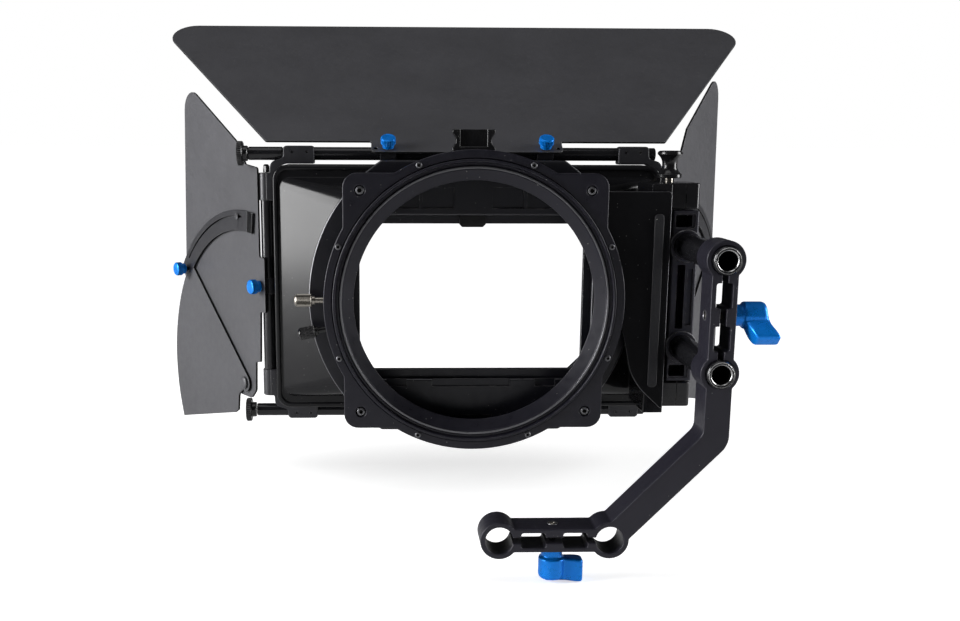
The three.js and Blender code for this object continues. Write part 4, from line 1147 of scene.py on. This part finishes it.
def french_flag():
    matrix = flag_axes("french_flag", "french_knob_left", Vector((0, TOP_TUBE.y, TOP_TUBE.z)), (1, 0, 0))
    low, high = local_box("french_flag", matrix)
    knob_place = centre_in("french_knob_right", matrix)
    right = [(59, low.y, 3), (59, 4.4, 1.2), (124, 4.4, 2), (TOP_FLAG_CORNER_X, high.y, TOP_FLAG_CORNER_R)]
    left = [(-x, y, size) for x, y, size in reversed(right)]
    holes = [circle((side * knob_place.x, knob_place.y), 1.7, 24) for side in (-1, 1)]
    holes += [circle((side * (knob_place.x + 7.6), knob_place.y - 0.6), 1.15, 24) for side in (-1, 1)]
    mesh = flat_slab(rounded(right + left, 0, 10), low.z, high.z, holes, 0.45)
    piece("french_flag_sheet", mesh, "french_flag", "flag_matte", matrix, ["french_flag"], accents=[PAINTED_EDGE_SHADOW])
    for side in ("left", "right"):
        collar(f"french_collar_{side}", "french_flag", matrix, knob_place.y)
        knob(f"french_knob_{side}", f"french_knob_{side}", matrix)


def centre_in(node, matrix):
    low, high = local_box(node, matrix)
    return (low + high) / 2


WING_R = 104.8
ARC_R = (99.0, 112.0)
TRACK_R = 108.0


def side_flag(name, side):
    up = -side
    collar_place = centre(f"{name}_flag_collar")
    pivot = Vector((centre(f"{name}_tube").x, centre(f"{name}_tube").y, collar_place.z))
    matrix = flag_axes(f"{name}_flag", f"{name}_flag_knob", pivot, (0, 0, up))
    low, high = local_box(f"{name}_flag", matrix)
    rivet = centre_in(f"{name}_wing_rivet", matrix)
    hub = (rivet.y, rivet.x * up)
    wing_low, wing_high = local_box(f"{name}_wing", matrix)
    wing_knob = centre_in(f"{name}_wing_knob", matrix)
    pin = centre_in(f"{name}_guide_pin", matrix)

    def laid(points):
        """Local X and Y of (distance from the tube, height) points."""
        return [(up * point[1], point[0], *point[2:]) for point in points]

    outline = rounded(laid([
        (8, -50, 1), (2, -49, 1), (0.4, -16.5, 1.5), (low.y, -16.5, 1.5), (low.y, 18, 1.5), (0.4, 18, 1.5),
        (0.4, 73.5, 2), (15.7, 75.4, 1), (26.3, 89.1, 2), (99.5, 129, 12), (107, 4, 5), (29, -75, 2),
        (15, -75, 5), (9, -69, 3),
    ]), 0, 7)
    holes = [circle((0, 0), 1.7, 24), circle((rivet.x, rivet.y), 2.4, 24)]
    piece(f"{name}_flag_sheet", flat_slab(outline, low.z, high.z, holes, 0.3), f"{name}_flag", "flag_matte",
          matrix,
          [f"{name}_flag"], accents=[PAINTED_EDGE_SHADOW])

    lug = arc(hub, ARC_R[1] - 0.5, 43.5, 37, 4)
    sector = [*arc(hub, 6, 300, 132, 10), *lug, *arc(hub, WING_R, 36, -23.5, 28)]
    tail = [(35.5, -88.5, 0.5), (31, -86, 1), (29.5, -75, 3)]
    wing_holes = [circle((rivet.x, rivet.y), 2.4, 24), circle((wing_knob.x, wing_knob.y), 1.7, 24)]
    mesh = flat_slab(rounded(laid(sector + tail), 0, 4), wing_low.z, wing_high.z, wing_holes, 0.3)
    piece(f"{name}_wing_sheet", mesh, f"{name}_wing", "flag_matte", matrix, [f"{name}_wing"],
          accents=[PAINTED_EDGE_SHADOW])
    guide(name, matrix, laid, hub, wing_low.z, wing_high.z, wing_knob)

    dome = [(0, 0), (2.1, 0), (2.1, 4.1), (4.1, 4.2), (4.0, 4.7), (3.3, 5.15), (2.0, 5.4), (0, 5.45)]
    rivet_low = local_box(f"{name}_wing_rivet", matrix)[0]
    place = matrix @ Matrix.Translation((rivet.x, rivet.y, rivet_low.z)) @ along((0, 0, 1))
    piece(f"{name}_wing_rivet_dome", turned(dome, 48), f"{name}_flag", "flag_matte", place,
          [f"{name}_wing_rivet"])
    pin_low, pin_high = local_box(f"{name}_guide_pin", matrix)
    top = pin_high.z - pin_low.z
    stud = [(0, 0), (0.5, 0), (0.5, top - 0.5), (1.9, top - 0.4), (2.1, top - 0.1), (1.9, top + 0.15)]
    stud += [(1.2, top + 0.15), (1.0, top - 0.2), (0, top - 0.25)]
    place = matrix @ Matrix.Translation((pin.x, pin.y, pin_low.z)) @ along((0, 0, 1))
    piece(f"{name}_guide_pin_stud", turned(stud, 32), f"{name}_flag", "rubbed_and_highlight_edge", place,
          [f"{name}_guide_pin"])
    collar(f"{name}_flag_collar", f"{name}_flag", matrix)
    knob(f"{name}_flag_knob", f"{name}_flag_knob", matrix)
    knob(f"{name}_wing_knob", f"{name}_wing_knob", matrix)


def guide(name, matrix, laid, hub, low, high, knob_place):
    """The wing's slotted guide arc, a darker strip fixed on the wing, with a stop at its free end."""
    inner, outer = ARC_R
    strip = [*arc(hub, inner, 37, 95, 28), *arc(hub, outer, 95, 37, 28)]
    slot = [*arc(hub, TRACK_R - 0.55, 44, 91, 30), *arc(hub, TRACK_R + 0.55, 91, 44, 30)]
    holes = [rounded(laid(slot), 0, 4), circle((knob_place.x, knob_place.y), 1.7, 24)]
    mesh = flat_slab(rounded(laid(strip), 0, 4), low + 0.1, high + 0.2, holes, 0.3)
    piece(f"{name}_wing_guide", mesh, f"{name}_wing", "bracket_black", matrix, [f"{name}_wing"],
          accents=[PAINTED_EDGE_SHADOW])
    end = [*arc(hub, inner, 95, 98.5, 3), *arc(hub, outer, 98.5, 95, 3)]
    mesh = flat_slab(rounded(laid(end), 0, 4), low, high + 0.3, (), 0.3)
    piece(f"{name}_wing_stop", mesh, f"{name}_wing", "knob_black", matrix, [])


# ------------------------------------------------------------------ the object

support_arm()
clamp_levers()
rods()
hinge_block()
hinge_bracket()
hinge_plate()
pins_and_knob()
ring_plate()
lens_ring()
stage_base()
rotating_stage()
filter_tray()
tray_pull()
stage_screws()
hood()
tubes()
brackets()
french_flag()
side_flag("left", -1)
side_flag("right", 1)

# ------------------------------------------------------------------ studio


def studio_floor():
    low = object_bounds()[0]
    mesh = bpy.data.meshes.new("floor")
    reach = 40.0
    points = [(x, y, low.z - 0.0005) for x,
              y in ((-reach, -reach), (reach, -reach), (reach, reach), (-reach, reach))]
    mesh.from_pydata(points, [], [(0, 1, 2, 3)])
    floor = bpy.data.objects.new("studio_floor", mesh)
    bpy.context.scene.collection.objects.link(floor)
    graph = Graph("pale_paper")
    seen = graph.tree.nodes.new("ShaderNodeLightPath").outputs["Is Camera Ray"]
    # the paper is lit less far from the object, so it glows a little more there
    away = graph.node("ShaderNodeVectorMath", {0: graph.place}, output=1, operation="LENGTH")
    glow = graph.times(seen, graph.ramp(away, 0.3, 2.5, 0.62, 1.0))
    graph.set(Base_Color=graph.mix(graph.noise(60, 3), (0.8, 0.8, 0.8, 1), (0.84, 0.84, 0.84, 1)),
              Roughness=0.9,
              Specular_IOR_Level=0.1, Emission_Color=(1, 1, 1, 1), Emission_Strength=glow)
    mesh.materials.append(graph.material)
    floor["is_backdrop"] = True


def softbox(name, place, target, width, height, power):
    light = bpy.data.lights.new(name, "AREA")
    light.shape = "RECTANGLE"
    light.size = width
    light.size_y = height
    light.energy = power
    item = bpy.data.objects.new(name, light)
    item.location = place
    item.rotation_euler = (Vector(target) - Vector(place)).to_track_quat("-Z", "Y").to_euler()
    bpy.context.scene.collection.objects.link(item)


AMBIENT = 0.05
BACKDROP = 1.0


def lighting():
    world = bpy.data.worlds.new("studio")
    bpy.context.scene.world = world
    world.use_nodes = True
    tree = world.node_tree
    background = tree.nodes["Background"]
    path = tree.nodes.new("ShaderNodeLightPath")
    mix = tree.nodes.new("ShaderNodeMix")
    mix.inputs[2].default_value = AMBIENT
    mix.inputs[3].default_value = BACKDROP
    tree.links.new(path.outputs["Is Camera Ray"], mix.inputs[0])
    tree.links.new(mix.outputs[0], background.inputs["Strength"])
    background.inputs["Color"].default_value = (1, 1, 1, 1)
    low, high = CAD_BOX
    middle = (low + high) / 2
    softbox("above", middle + Vector((-0.2, -0.3, 1.5)), middle, 0.9, 0.9, 3.5)
    softbox("left_side", middle + Vector((-1.5, -0.35, 0.25)), middle, 0.7, 1.2, 44)
    softbox("right_side", middle + Vector((1.5, -0.2, 0.3)), middle, 0.6, 1.2, 27)


def camera():
    """The operator's side of the box, a little left of it and above it."""
    eye = ORIGIN + Vector((-50.5, -610.1, 90.0)) * MM
    look = Vector((0.0277, 0.9796, -0.199)).normalized()
    data = bpy.data.cameras.new("camera")
    data.lens = 40.93
    data.sensor_width = 36.0
    data.shift_x = 0.067
    data.shift_y = 0.054
    item = bpy.data.objects.new("camera", data)
    turn = look.to_track_quat("-Z", "Y").to_matrix().to_4x4()
    item.matrix_world = Matrix.Translation(eye) @ turn @ Matrix.Rotation(math.radians(0.2), 4, "Z")
    bpy.context.scene.collection.objects.link(item)
    bpy.context.scene.camera = item


studio_floor()
lighting()
camera()
bpy.context.scene.view_settings.view_transform = "Standard"
